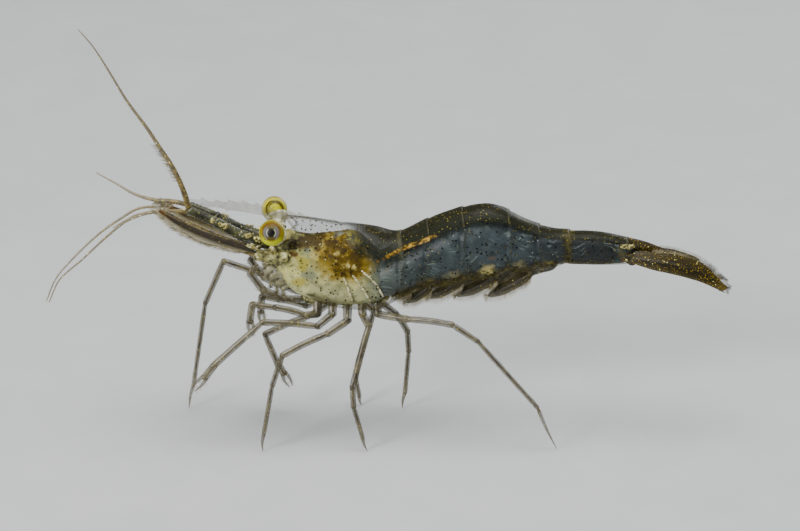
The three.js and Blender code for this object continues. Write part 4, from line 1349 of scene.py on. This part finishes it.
def article(bm, start, end, root, tip, bend=(0, 0, 0), flat=1.0, sides=14, rows=34):
    """One length of a limb and the core inside it. Its round ends nest in the lengths beside it."""
    start, end = Vector(start), Vector(end)
    ahead = (end - start).normalized()
    start, end = start - ahead * root * NEST, end + ahead * tip * NEST
    line = smooth_line([start, (start + end) / 2 + Vector(bend), end], 6)
    length = (end - start).length

    def girth(share):
        size = (root + (tip - root) * share) * (0.84 + 0.16 * ease(share, 0.05, 0.25))
        size *= (1 + 0.07 * hump(share, 0.88, 0.05)) * domed(share, length, size)
        return size, size * flat

    def core_girth(share):
        size = CORE_SHARE * (root + (tip - root) * share) * (1 - (2 * share - 1) ** 8)
        return size, size * flat

    tube(cores, line, core_girth, 8, 12)
    return tube(bm, line, girth, sides, rows, spacing=crowded)


def claw(bm, start, end, root, bend=(0, 0, 0)):
    """A pointed last length, curved to its tip."""
    start, end = Vector(start), Vector(end)
    line = smooth_line([start, (start + end) / 2 + Vector(bend), end], 6)

    def girth(share):
        size = root * (1 - share) ** 0.8 * min(1.0, 0.7 + 2.5 * share) + 0.012
        return [size * rounded(share, 30)] * 2

    return tube(bm, line, girth, 12, 26)


# %% [markdown]
# ## Ten legs
# The first two pairs end in small pincers, and the three behind them are the ones it stands on.
# The knees stand high, and each walking leg comes down on the tip of one curved claw. A leg could
# be one bent tube, but a real one bends only at its joints. So each is a row of straight lengths
# between the same joints as in the frame.

# %% Leg joints
# x of the root of each pair, and how far out and how high the roots lie
LEG_ROOTS = [-6.6, -5.4, -4.2, -3.0, -1.8]
ROOT_OUT, ROOT_UP = 0.98, 11.45
# how far out and how high the coxa, the first length, ends
COXA_OUT = [1.5, 1.5, 2.15, 1.5, 1.5]
COXA_HEIGHT = [10.6, 10.6, 10.3, 10.6, 10.6]
LEG_GIRTHS = [0.42, 0.34, 0.29, 0.26, 0.22, 0.18]  # half width at each joint
# the joints below the coxa
LEGS = {
    ("left", 1): [(-7.6, -2.1, 10.75), (-10.0, -2.3, 11.5), (-11.8, -2.3, 11.75),
                  (-12.0, -2.3, 10.3), (-11.8, -2.2, 8.9)],
    ("right", 1): [(-7.6, 2.0, 9.9), (-9.8, 2.3, 10.3), (-11.1, 2.3, 10.6),
                   (-11.2, 2.2, 9.3), (-11.0, 2.1, 8.1)],
    ("left", 2): [(-6.6, -2.4, 9.9), (-11.0, -3.0, 10.5), (-14.8, -3.6, 7.1),
                  (-15.6, -3.6, 6.0), (-16.6, -3.5, 4.8)],
    ("right", 2): [(-7.0, 2.3, 9.0), (-10.9, 3.2, 6.9), (-9.9, 3.6, 4.2),
                   (-9.4, 3.7, 3.3), (-8.8, 3.7, 2.1)],
    ("left", 3): [(-5.8, -3.0, 9.5), (-9.4, -4.9, 8.4), (-10.2, -5.1, 5.9),
                  (-10.9, -4.8, 1.6), (-11.0, -4.7, 0.0)],
    ("right", 3): [(-8.6, 3.1, 11.1), (-14.2, 3.6, 13.1), (-15.7, 4.0, 9.3),
                   (-16.7, 4.1, 2.2), (-17.1, 4.1, 0.0)],
    ("left", 4): [(-2.5, -2.6, 10.0), (-3.8, -4.3, 5.4), (-3.7, -4.6, 3.8),
                  (-3.0, -4.6, 1.2), (-2.6, -4.6, 0.0)],
    ("right", 4): [(-2.1, 2.6, 9.2), (-3.4, 4.6, 3.7), (-3.6, 5.1, 2.2),
                   (-3.3, 4.9, 0.8), (-3.1, 4.8, 0.0)],
    ("left", 5): [(0.6, -2.6, 10.6), (4.2, -3.8, 10.6), (6.2, -4.3, 9.4),
                  (11.0, -4.4, 3.7), (12.6, -4.3, 0.0)],
    ("right", 5): [(-0.3, 2.6, 8.9), (0.6, 3.6, 7.0), (0.7, 4.0, 5.1),
                   (0.4, 4.2, 1.4), (0.2, 4.2, 0.0)],
}
PALM = 0.32  # half width of a pincer's palm
LIFTED = 2  # the last of the pairs that end in pincers and stand on nothing

# %% Legs
def pincer(bm, wrist, palm_end, tip, gape):
    """A palm with a fixed finger and a moving one, and tufts of hair on both."""
    palm_end, tip = Vector(palm_end), Vector(tip)
    ahead = (tip - palm_end).normalized()
    across = ahead.cross(RIGHT).normalized()
    palm = article(bm, wrist, palm_end, PALM, PALM * 0.95)
    brush("setae_legs", palm, 14, 0.5, 1.0, ALL_ROUND, 0.35)
    for way in (-1, 1):
        root = palm_end + across * (way * PALM * 0.42) - ahead * 0.1
        end = tip + across * (way * gape / 2)
        finger = claw(bm, root, end, PALM * 0.55, across * (way * PALM * 0.35))
        brush("setae_legs", finger, 26, 0.15, 0.95, ALL_ROUND, 0.38, lean=0.6)


for (side, number), steps in LEGS.items():
    out, root = SIDES[side], LEG_ROOTS[number - 1]
    coxa = (root, out * COXA_OUT[number - 1], COXA_HEIGHT[number - 1])
    joints = [(root, out * ROOT_OUT, ROOT_UP), coxa] + steps
    bm = new_shape()
    for i in range(3 if number <= LIFTED else 5):
        bulge = (0, 0, 0.10) if i == 2 else (0, 0, 0)
        skin = article(bm, joints[i], joints[i + 1], LEG_GIRTHS[i], LEG_GIRTHS[i + 1] * 1.02, bulge)
        if i:
            brush("setae_legs", skin, 12, 0.1, 1.0, ALL_ROUND, 0.26, thick=0.012)
    if number <= LIFTED:
        article(bm, joints[3], joints[4], 0.25, 0.28)
        pincer(bm, joints[4], joints[5], joints[6], 0.12 if number == 1 else 0.26)
    else:
        claw(bm, joints[5], joints[6], 0.17, (-0.08, 0, 0))
        brush("setae_legs", skin, 16, 0.55, 1.0, (0.3, 0.7), 0.22, thick=0.018, lean=1.2)
    piece(f"leg_{number}_{side}", bm, limb_skin, "limb", f"leg_{number}_{side}")

# %% [markdown]
# ## Breast and mouth
# Between the legs the breast is a keel of fused plates with a knob at the root of each leg. In
# front of it the jaws and small mouth limbs lie folded over each other, and the longest pair, the
# third maxillipeds, reaches up past the mouth like a pair of short hairy legs. Seen from outside
# they are limbs like the others, so the same lengths serve for them, pressed a little flat.

# %% Breast and forehead
BREAST = [Vector((-8.0, 0, 11.5)), Vector((-4.5, 0, 11.45)), Vector((-0.8, 0, 11.6))]
# x, top, bottom, half width
FOREHEAD = [
    (-10.95, 16.95, 15.75, 0.52), (-10.3, 17.3, 15.3, 0.78), (-9.7, 17.3, 15.1, 0.82),
    (-9.1, 17.1, 15.0, 0.8),
]


def breast_girth(share):
    """A keel that swells between the roots of the legs."""
    x = BREAST[0].x + (BREAST[-1].x - BREAST[0].x) * share
    knobs = sum(hump(x, root, 0.33) for root in LEG_ROOTS)
    full = rounded(share, 10)
    return (0.38 + 0.06 * knobs) * full, (0.62 + 0.22 * knobs) * full


def brow_swell(x, turn):
    """Soft lumps over the forehead."""
    return 0.05 * noise.noise(Vector((x * 2, math.sin(turn) * 2, math.cos(turn))))


bm = new_shape()
tube(bm, BREAST, breast_girth, 24, 90, UP)
piece("breast_plate", bm, skin_finish, "chest", "breast_plate")

bm = new_shape()
body_skin(bm, FOREHEAD, FOREHEAD[0][0], FOREHEAD[-1][0], 24, 24, brow_swell)
piece("forehead", bm, skin_finish, "chest", "forehead")

# %% Mouth limbs
# root, knee and tip of the small limbs on one side, and their half width, from the lip down
MOUTH_LIMBS = [
    ((-9.2, 0.50, 15.2), (-10.30, 0.62, 15.0), (-10.90, 0.45, 14.1), 0.30),
    ((-9.2, 0.75, 14.6), (-10.45, 0.95, 14.3), (-10.75, 0.70, 13.3), 0.27),
    ((-9.1, 0.90, 14.0), (-10.20, 1.15, 13.7), (-10.35, 0.90, 12.7), 0.27),
    ((-8.9, 0.85, 13.4), (-9.80, 1.15, 13.1), (-9.90, 0.90, 12.1), 0.26),
    ((-8.7, 0.60, 12.9), (-9.40, 0.85, 12.6), (-9.30, 0.70, 11.9), 0.24),
]
# x, distance from the middle and z of the joints
MAXILLIPED = [
    (-7.95, 0.75, 11.6), (-9.3, 1.3, 11.85), (-10.9, 1.45, 12.6), (-12.0, 1.4, 14.1),
    (-11.3, 1.2, 14.75),
]
# half width at the start and the end of each length
MAXILLIPED_GIRTHS = [(0.30, 0.30), (0.31, 0.36), (0.33, 0.28)]

bm = new_shape()
for out in SIDES.values():
    for *limb, half in MOUTH_LIMBS:
        root, knee, tip = mirrored(limb, out)
        article(bm, root, knee, half * 1.1, half, flat=0.7)
        skin = article(bm, knee, tip, half, half * 0.6, flat=0.7)
        brush("setae_mouth", skin, 36, 0.3, 0.97, ALL_ROUND, 0.30, lean=1.0)
piece("mouthparts", bm, mouth_skin, "chest", "mouthparts")

for side, out in SIDES.items():
    joints = mirrored(MAXILLIPED, out)
    bm = new_shape()
    for i, (root, tip) in enumerate(MAXILLIPED_GIRTHS):
        skin = article(bm, joints[i], joints[i + 1], root, tip, flat=0.75)
        brush("setae_mouth", skin, 34 + 40 * (i == 2), 0.1, 1.0, ALL_ROUND, 0.36)
    skin = claw(bm, joints[3], joints[4], 0.26, (-0.12, 0, 0.05))
    brush("setae_mouth", skin, 40, 0.1, 0.95, ALL_ROUND, 0.34)
    piece(f"maxilliped_{side}", bm, limb_skin, "limb", f"maxilliped_{side}")

# %% [markdown]
# ## Feelers
# A shrimp has two pairs. The upper pair, the antennules, starts as three thick lengths over the
# nose and splits into whips. The lower pair, the antennae, has a base as stout as a leg that
# bears the longest whip and a leaf-shaped scale. The whips are strings of tiny beads, which a
# tube with a rippled girth shows well. A real bead is a tenth of a millimetre long and wouldn't
# show, so these are drawn a quarter of a millimetre long.

# %% Finish: feelers
def feeler_chitin(tree):
    """Beaded horn: straw and olive rings, paler towards the tip."""
    where = millimetres(tree)
    _, along = layout(tree)
    clouds = add(tree, "TexNoise", {"Vector": where, "Scale": 1 / 0.5, "Detail": 3.0})
    colour = add(tree, "ValToRGB", {0: clouds}, stops=[(0.35, "#3f3518"), (0.65, "#86723a")])
    tip = add(tree, "ValToRGB", {0: along}, stops=[(0.10, 0.0), (0.60, 0.75)])
    colour = add(tree, "Mix", {0: tip, 6: colour, 7: "#776f5c"}, **COLOURS)
    colour, _ = dust(
        tree, where, colour, 1.0, ("#a9a648", 0.24, 0.075, 0.38), ("#ececc8", 0.34, 0.075, 0.30))
    return {"Base Color": colour, "Roughness": 0.35, "Coat Weight": 0.2, "Coat Roughness": 0.2}


whip_finish = finish("feeler_chitin", feeler_chitin)

# %% Whips
# the points of each whip, its half width at the root and at the tip, and what else it stands for
WHIPS = {
    "antennule_outer_left": ([
        (-16.8, -0.70, 19.2), (-17.15, -0.95, 20.7), (-17.6, -1.3, 22.1), (-18.2, -1.6, 23.5),
        (-19.0, -1.8, 24.9), (-20.0, -2.1, 26.7), (-21.6, -2.4, 29.2), (-23.2, -2.7, 32.2),
        (-24.3, -2.9, 34.1), (-25.4, -3.0, 35.5)], 0.27, 0.045, ["antennule_outer_tip_left"]),
    "antennule_outer_right": ([
        (-16.7, 0.72, 19.1), (-18.3, 1.2, 19.25), (-19.6, 1.6, 19.2), (-21.2, 2.2, 19.45),
        (-22.8, 3.0, 20.1), (-24.4, 3.8, 20.7)], 0.25, 0.045, []),
    "antennule_inner_left": ([
        (-16.8, -0.62, 19.0), (-18.4, -0.62, 19.1), (-20.2, -0.7, 18.9), (-21.8, -0.85, 18.3),
        (-23.2, -1.1, 17.4)], 0.13, 0.04, []),
    "antennule_inner_right": ([
        (-16.7, 0.56, 18.75), (-18.4, 0.58, 18.68), (-20.2, 0.7, 18.4), (-21.8, 0.85, 17.8),
        (-23.0, 1.0, 17.0)], 0.13, 0.04, []),
    "antenna_flagellum_left": ([
        (-11.1, -1.4, 15.5), (-14.0, -1.35, 16.5), (-17.0, -1.4, 18.35), (-19.4, -1.5, 19.75),
        (-20.8, -1.65, 19.75), (-22.0, -1.9, 19.15), (-24.0, -2.3, 17.8), (-26.0, -2.9, 16.0),
        (-27.4, -3.3, 14.4), (-28.2, -3.5, 12.5)], 0.20, 0.05, ["antenna_flagellum_tip_left"]),
    "antenna_flagellum_right": ([
        (-11.1, 1.4, 15.15), (-14.0, 1.35, 16.0), (-17.0, 1.35, 17.4), (-19.5, 1.4, 18.2),
        (-20.8, 1.5, 18.0), (-21.8, 1.8, 17.4), (-23.6, 2.2, 15.7), (-25.6, 2.8, 13.5),
        (-27.4, 3.3, 11.6), (-28.3, 3.5, 9.5)], 0.20, 0.05, ["antenna_flagellum_tip_right"]),
}
BEAD = 0.26  # drawn longer than a real one
ROWS_PER_BEAD = 5


def whip(bm, points, root, tip):
    """A beaded feeler that thins from root to tip."""
    line = smooth_line(points)
    beads = round(sum((end - start).length for start, end in zip(line, line[1:])) / BEAD)

    def girth(share):
        bead = 1 - 0.22 * math.cos(TAU * beads * share / 2) ** 8
        return [(tip + (root - tip) * (1 - share) ** 1.1) * bead * rounded(share, 60)] * 2

    return tube(bm, line, girth, 8, beads * ROWS_PER_BEAD)


for name, (points, root, tip, more_nodes) in WHIPS.items():
    bm = new_shape()
    skin = whip(bm, points, root, tip)
    brush("setae_feelers", skin, 60, 0.06, 0.98, ALL_ROUND, 0.20, thick=0.010)
    if name.startswith("antennule_outer"):
        brush("setae_feelers", skin, 60, 0.16, 0.36, (0.18, 0.32), 0.55, thick=0.022, stray=0.05)
    piece(name, bm, whip_finish, "feeler", name, *more_nodes)

# %% [markdown]
# ## Feeler bases
# The nose of a shrimp is mostly the stems of its upper feelers, three lengths each, lying side by
# side. Below them sit the short stout bases of the lower feelers. They are lengths of limb again,
# with a spine on the outside of each. The soft skin bulges round the bases, and crumbs of pigment
# are heaped on the stems, both as roughened balls, because a bump would leave the outline smooth.

# %% Feeler bases
# x, distance from the middle, z
ANTENNULE_STEM = {
    "left": [(-10.7, 0.60, 16.3), (-12.8, 0.66, 17.1), (-14.7, 0.68, 18.2), (-16.8, 0.70, 19.2)],
    "right": [(-10.7, 0.60, 16.3), (-12.8, 0.66, 17.1), (-14.7, 0.68, 18.15), (-16.7, 0.70, 19.05)],
}
# half width at the start and the end of each length
STEM_GIRTHS = [(0.48, 0.44), (0.44, 0.41), (0.40, 0.34)]
# root and tip of the spine, from the start of the stem
STEM_SPINE = [(-0.5, 0.42, 0.2), (-1.6, 0.62, 0.75)]
ANTENNA_BASE = {
    "left": [(-9.1, 1.40, 15.5), (-10.2, 1.70, 15.6), (-11.35, 1.75, 15.8)],
    "right": [(-9.1, 1.40, 15.4), (-10.2, 1.70, 15.4), (-11.35, 1.75, 15.55)],
}
# root and tip of the spine, from the joint of the base
BASE_SPINE = [(0.0, 0.45, -0.15), (-0.9, 0.62, -0.1)]
# the middle of each lump, then its half length and half height
BASE_LUMPS = [
    ((-9.6, 1.25, 15.15), 0.55, 0.5), ((-10.4, 1.35, 15.3), 0.5, 0.42),
    ((-10.0, 1.3, 16.0), 0.6, 0.4), ((-11.75, 1.3, 16.3), 0.60, 0.26),
]
STEM_HEAPS = [
    ((-15.0, 0.92, 18.42), 0.30, 0.16), ((-14.1, 0.98, 18.05), 0.42, 0.24),
    ((-12.2, 0.95, 17.15), 0.42, 0.20), ((-11.3, 1.0, 16.80), 0.45, 0.26),
]


def lumps_beside(bm, rows, out, thick, rough, grain):
    """Roughened lumps on one side, pressed to thick millimetres each way from their middle."""
    for centre, wide, tall in rows:
        lump(bm, mirrored([centre], out)[0], (wide, thick, tall), rough, grain)


for side, out in SIDES.items():
    bm = new_shape()
    stem = mirrored(ANTENNULE_STEM[side], out)
    for i, (root, tip) in enumerate(STEM_GIRTHS):
        skin = article(bm, stem[i], stem[i + 1], root, tip, sides=20)
        brush("setae_feelers", skin, 30, 0.3, 1.0, ALL_ROUND, 0.28)
    spine(bm, *[stem[0] + end for end in mirrored(STEM_SPINE, out)], 0.10)
    piece(f"antennule_stem_{side}", bm, stem_skin, "limb", f"antennule_stem_{side}")
    bm = new_shape()
    base = mirrored(ANTENNA_BASE[side], out)
    article(bm, base[0], base[1], 0.50, 0.58, sides=20)
    article(bm, base[1], base[2], 0.54, 0.48, sides=20)
    lumps_beside(bm, BASE_LUMPS, out, 0.32, 0.22, 2.2)
    spine(bm, *[base[1] + end for end in mirrored(BASE_SPINE, out)], 0.11)
    piece(f"antenna_base_{side}", bm, skin_finish, "limb", f"antenna_base_{side}")

bm = new_shape()
for out in SIDES.values():
    lumps_beside(bm, STEM_HEAPS, out, 0.16, 0.20, 3.6)
piece("stem_crumbs", bm, pigment, "limb")

piece("limb_cores", cores, finish("limb_flesh", limb_flesh), "limb")

# %% [markdown]
# ## Leaves: scales, swimmerets and tail fan
# The scales beside the feelers, the swimmerets' paddles and the blades of the tail fan are all
# flat leaves with a rib and a fringe of hairs. An outline that is filled and thickened would be
# flat all over, so one rule makes them all: a midline, a half width on each side of it, a
# thickness that thins to the edge, and a rib. It hands back the leaf's surface, so that hairs can
# be set along its margin.

# %% Leaf
FRINGE_END = 0.985  # how far along a leaf its fringe goes


def leaf(bm, points, outer, inner, thick, side, tilt=0.0, rib=0.05, cup=0.0, around=28, rows=60):
    """A blade along points. outer and inner give its half widths; tilt lifts its outer edge."""
    at = follow(smooth_line(points))
    lift = math.radians(tilt)
    face = Vector((0, -side * math.sin(lift), math.cos(lift)))

    def surface(v, w, level=0.0):
        middle, ahead = at(v)
        across = ahead.cross(face).normalized()
        if across.y * side < 0:
            across = -across
        up = ahead.cross(across)
        up = up if up.z > 0 else -up
        width = outer(v) if w > 0 else inner(v)
        place = middle + across * (width * w) + up * (level + cup * w * w)
        return place, across * math.copysign(1, w), ahead

    def place(u, v):
        w = math.sin(TAU * u)
        height = thick * (0.25 + 0.75 * (1 - w * w)) + rib * hump(w, 0.0, 0.16)
        return surface(v, w, height * math.cos(TAU * u) * rounded(v, 12))[0]

    close_seams(bm, sheet(bm, around, rows, place))
    return surface


def leaf_width(half, shoulder, tip, root=0.35, drawn=0.55):
    """A half width: root of it at the start, full by the shoulder, and drawn in to tip at the end.

    drawn is how far along it begins to narrow.
    """
    def width(v):
        rise = root + (1 - root) * ease(v, 0.0, shoulder)
        return half * rise * (1 - (1 - tip) * ease(v, drawn, 1.0)) * rounded(v, 16)

    return width


def fringe(group, surface, count, start, way, length, tip_count=0, thick=0.016):
    """Hairs along one margin of a leaf from start to its tip, and across the tip."""
    roots = []
    for i in range(count):
        v = start + (FRINGE_END - start) * i / count
        place, out, ahead = surface(v, way)
        roots.append((place, out + ahead * (0.5 + 1.5 * ease(v, 0.8, 1.0)), (0.5 + 0.25 * way, v)))
    for i in range(tip_count):
        w = 1.9 * (i + 0.5) / tip_count - 0.95
        place, out, ahead = surface(FRINGE_END, w)
        roots.append((place, ahead + out * 0.7 * abs(w), (0.5 + 0.25 * w, FRINGE_END)))
    plant(group, roots, length, thick, stray=0.06)


# %% Finish: leaves
def both_edges(rib, field, rim):
    """Colours or densities from one edge of a leaf over its rib to the other."""
    return both_sides([(0.03, rim), (0.25, field), (0.44, rib)])


def leaf_finish(name, colours, hides, tip_colour, gold, streak_colour):
    """A blade of chitin with lengthwise streaks and gold grains.

    colours, and hides for how much they hide, run from the inner edge, at 0, to the outer one, at
    1. gold runs from root to tip.
    """
    def look(tree):
        where = millimetres(tree)
        across, along = layout(tree)
        turn = add(tree, "Math", {0: across, 1: TAU}, operation="MULTIPLY")
        lies = add(tree, "Math", {0: turn}, operation="SINE")
        clouds = add(tree, "TexNoise", {"Vector": where, "Scale": 1 / 0.5, "Detail": 4.0})
        shake = add(tree, "MapRange", {0: clouds, 3: -0.25, 4: 0.25})
        shaken = add(tree, "Math", {0: lies, 1: shake}, operation="ADD")
        place = add(tree, "MapRange", {0: shaken, 1: -1.0, 2: 1.0})
        colour = add(tree, "ValToRGB", {0: place}, stops=colours)
        lanes = add(tree, "CombineXYZ", {0: lies, 1: along})
        lanes = add(tree, "VectorMath", {0: lanes, 1: (8.0, 1.6, 0.0)}, operation="MULTIPLY")
        lanes = add(tree, "TexNoise", {"Vector": lanes, "Scale": 1.0, "Detail": 3.0})
        streak = add(tree, "ValToRGB", {0: lanes}, stops=[(0.50, 0.0), (0.66, 0.4)])
        colour = add(tree, "Mix", {0: streak, 6: colour, 7: streak_colour}, **COLOURS)
        ends = add(tree, "ValToRGB", {0: along}, stops=[(0.84, 0.0), (0.97, 0.8)])
        colour = add(tree, "Mix", {0: ends, 6: colour, 7: tip_colour}, **COLOURS)
        golden = add(tree, "ValToRGB", {0: along}, stops=gold)
        pale = add(tree, "Math", {0: golden, 1: 0.6}, operation="MULTIPLY")
        alpha = add(tree, "ValToRGB", {0: place}, stops=hides)
        colour, alpha = dust(
            tree, where, colour, alpha, ("#75600c", 0.13, 0.043, golden),
            ("#9c8a18", 0.19, 0.048, golden), ("#d6d27c", 0.30, 0.050, pale),
            ("#0d0a05", 0.34, 0.060, 0.34))
        bump = add(tree, "Bump", {"Height": lanes, "Distance": 0.05 * MM, "Strength": 0.6})
        return {"Base Color": colour, "Alpha": alpha, "Roughness": 0.42, "IOR": 1.5,
                "Specular IOR Level": 0.25, "Coat Weight": 0.06, "Coat Roughness": 0.2,
                "Normal": bump}

    return finish(name, look)


scale_finish = leaf_finish(
    "scale_chitin",
    [(0.0, "#8d845e"), (0.30, "#5f5736"), (0.46, "#2f2508"), (0.70, "#1f1602"), (1.0, "#2f2104")],
    [(0.0, 0.60), (0.30, 0.80), (0.46, 0.96), (1.0, 0.98)],
    "#5a3200", [(0.0, 0.12), (1.0, 0.25)], "#3c331a")
paddle_finish = leaf_finish(
    "paddle_chitin", both_edges("#1c190a", "#302c16", "#484224"), both_edges(0.92, 0.78, 0.70),
    "#5a5640", [(0.0, 0.45), (0.3, 0.18), (1.0, 0.12)], "#454028")
fan_finish = leaf_finish(
    "fan_chitin", both_edges("#120e02", "#251e05", "#332b0c"), both_edges(0.99, 0.94, 0.88),
    "#5a4c1e", [(0.0, 0.80), (0.22, 0.45), (0.58, 0.50), (0.72, 0.90), (1.0, 0.75)], "#3c3412")

# %% [markdown]
# ## Antennal scales
# A broad scale stands beside each lower feeler and steers the shrimp when it darts back. Its outer
# edge is bare but for a few short hairs and ends in a tooth. Its inner edge has a long even
# fringe, so the two edges are planted apart.

# %% Antennal scales
SCALE_TILT = 48  # degrees
# x, distance from the middle, z
SCALES = {
    "left": [(-11.4, 2.05, 16.15), (-15.2, 2.5, 17.6), (-17.4, 2.62, 18.7), (-19.2, 2.7, 20.05)],
    "right": [(-11.4, 2.05, 15.65), (-15.0, 2.5, 16.7), (-17.2, 2.55, 17.5), (-18.9, 2.6, 18.45)],
}


def corner_tooth(bm, margin, share, behind, before, girth):
    """A tooth at the outer corner of a leaf, share of the way along it."""
    place, _, ahead = margin(share, 1)
    spine(bm, place - ahead * behind, place + ahead * before, girth)


for side, out in SIDES.items():
    bm = new_shape()
    margin = leaf(bm, mirrored(SCALES[side], out), leaf_width(0.72, 0.22, 0.28),
                  leaf_width(0.72, 0.4, 0.30), 0.09, out, SCALE_TILT, rib=0.06, cup=-0.05)
    corner_tooth(bm, margin, 0.93, 0.15, 0.40, 0.07)
    fringe("setae_scales", margin, 330, 0.10, -1, 0.95, tip_count=24, thick=0.020)
    fringe("setae_scales", margin, 40, 0.20, 1, 0.22)
    piece(f"antenna_scale_{side}", bm, scale_finish, "limb", f"antenna_scale_{side}")

# %% [markdown]
# ## Swimmerets
# Under each of the first five rings a pair of paddles beats when the shrimp swims. Each has a stout
# stem and two fringed blades, and at rest they lie folded forwards over each other. The stem is a
# tube and the blades are two leaves, the inner one a little shorter.

# %% Swimmerets
# root, bend and tip in the side view, and how far out from the middle they stand
SWIMMERETS = [
    ((1.5, 12.95), (0.8, 12.6), (-0.5, 12.05), 0.75),
    ((3.4, 13.55), (2.45, 12.85), (0.4, 11.55), 0.95),
    ((6.2, 14.2), (5.0, 13.4), (2.2, 11.95), 0.98),
    ((9.2, 14.5), (7.8, 13.7), (4.4, 12.1), 0.9),
    ((12.2, 14.5), (10.4, 13.9), (7.0, 12.0), 0.78),
]
BLADE_SPREAD = 0.32  # how far to its side of the stem a blade ends
INNER_SHARE = 0.84  # how far the inner blade reaches, as a share of the outer one
PADDLE_TILT = -50


def stem_girth(share):
    """An even stem, deeper than it is wide."""
    full = rounded(share, 10)
    return 0.30 * full, 0.38 * full


for number, (root, bend, tip, far) in enumerate(SWIMMERETS, 1):
    for side, out in SIDES.items():
        bm = new_shape()
        start, knee, end = (Vector((x, out * far, z)) for x, z in (root, bend, tip))
        stem = [start + Vector((0.3, 0, 0.8)), start, (start + knee) / 2, knee + (knee - start) * 0.15]
        tube(bm, smooth_line(stem, 5), stem_girth, 16, 24)
        for way, share in ((1, 1.0), (-1, INNER_SHARE)):
            shift = Vector((0, out * way * BLADE_SPREAD, 0))
            stop = knee + (end - knee) * share + shift
            middle = (knee + stop) / 2 + Vector((0, 0, -0.12)) + shift * 0.2
            blade = [knee - (knee - start) * 0.25 + shift * 0.2, middle, stop]
            width = leaf_width(0.32 + 0.04 * min(number, 4), 0.3, 0.5, drawn=0.7)
            margin = leaf(bm, blade, width, width, 0.07, out, PADDLE_TILT, cup=-0.04, around=20,
                          rows=30)
            for edge in (-1, 1):
                fringe("setae_swimmerets", margin, 70, 0.15, edge, 0.55, tip_count=14)
        piece(f"swimmeret_{number}_{side}", bm, paddle_finish, "tail", f"swimmeret_{number}_{side}")

# %% [markdown]
# ## Tail fan
# Two pairs of blades, the uropods, flank a pointed middle piece, the telson. The outer blade has a
# straight outer edge that ends in a tooth, and all blades but the telson are fringed. A knob at
# the corner of the last ring, the root of both blades of one side, closes the gap before them.
# The blades are leaves as before. The telson is too thick for one, so it is a flattened tube. It
# bears two pairs of small spines on its back and three pairs at its tip.

# %% Tail fan
FAN_TILT = -60
BLADE_THICK = 0.10
# x, distance from the middle, z
OUTER_BLADES = {
    "left": [(18.35, 1.00, 15.17), (21.4, 1.48, 14.78), (24.0, 1.55, 14.05), (26.2, 1.5, 12.9)],
    "right": [(18.35, 1.00, 15.12), (21.4, 1.4, 14.4), (24.0, 1.4, 13.45), (26.0, 1.3, 12.4)],
}
INNER_BLADES = {
    "left": [(18.35, 0.34, 15.32), (21.3, 0.75, 14.8), (24.9, 0.75, 13.85)],
    "right": [(18.35, 0.34, 15.32), (21.3, 0.7, 14.65), (24.7, 0.65, 13.6)],
}
straight_edge = leaf_width(0.62, 0.30, 0.85, 0.60)
curved_edge = leaf_width(1.0, 0.45, 0.10, 0.50, drawn=0.60)
inner_width = leaf_width(0.50, 0.2, 0.6, 0.5)

for side, out in SIDES.items():
    bm = new_shape()
    lump(bm, (18.5, out * 0.84, 15.05), (0.55, 0.20, 0.50), 0.08, 2.0, level=3)
    margin = leaf(bm, mirrored(OUTER_BLADES[side], out), straight_edge, curved_edge, BLADE_THICK,
                  out, FAN_TILT, cup=0.05)
    corner_tooth(bm, margin, 0.95, 0.2, 0.45, 0.09)
    fringe("setae_tail_fan", margin, 90, 0.25, -1, 0.5, tip_count=46)
    fringe("setae_fan_tips", margin, 30, 0.90, -1, 0.45, tip_count=16, thick=0.026)
    piece(f"uropod_outer_{side}", bm, fan_finish, "tail", f"uropod_outer_{side}")
    bm = new_shape()
    margin = leaf(bm, mirrored(INNER_BLADES[side], out), inner_width, inner_width, BLADE_THICK,
                  out, FAN_TILT, rib=0.08, cup=0.04)
    for edge in (-1, 1):
        fringe("setae_tail_fan", margin, 80, 0.25, edge, 0.45, tip_count=16)
    fringe("setae_fan_tips", margin, 50, 0.82, -1, 0.75, tip_count=60, thick=0.028)
    piece(f"uropod_inner_{side}", bm, fan_finish, "tail", f"uropod_inner_{side}")

# %% Telson
TELSON = [(17.9, 0, 16.08), (19.4, 0, 15.8), (21.0, 0, 15.3), (22.4, 0, 14.85)]
BACK_SPINES = [(share, turn) for share in (0.55, 0.80) for turn in (0.16, 0.34)]
# distance to the right of the middle, and length
TIP_SPINES = [(-0.20, 0.25), (-0.13, 0.60), (-0.05, 0.40), (0.05, 0.40), (0.13, 0.60), (0.20, 0.25)]


def telson_girth(share):
    """A wedge that narrows to a blunt tip, with a shallow groove along its back."""
    full = rounded(share, 20)
    return (0.32 - 0.18 * share) * full, (0.60 - 0.34 * share ** 1.2) * full


bm = new_shape()
skin = tube(bm, smooth_line(TELSON), telson_girth, 28, 70, UP)
for share, turn in BACK_SPINES:
    place, out, ahead = skin(turn, share)
    spine(bm, place - out * 0.2, place + out * 0.15 + ahead * 0.28, 0.045)
tip, _, ahead = skin(0.0, 0.97)
for way, long in TIP_SPINES:
    root = Vector((tip.x - 0.05, way, TELSON[-1][2] + 0.02))
    spine(bm, root, root + ahead * long + Vector((0, way * 0.5, 0)), 0.04)
piece("telson", bm, fan_finish, "tail", "telson")

# %% [markdown]
# ## All the hairs
# The hairs were only noted down while the skins were made. Now each group becomes one piece, which
# is far quicker than an object for each hair, and keeps its map on one sheet.

# %% Hair pieces
HAIR_SLOTS = {
    "setae_legs": "limb", "setae_mouth": "limb", "setae_feelers": "feeler", "setae_scales": "limb",
    "setae_swimmerets": "tail", "setae_tail_fan": "tail", "setae_fan_tips": "tail",
}
for name, slot in HAIR_SLOTS.items():
    hair_piece(name, white_setae if name == "setae_fan_tips" else straw_setae, slot)
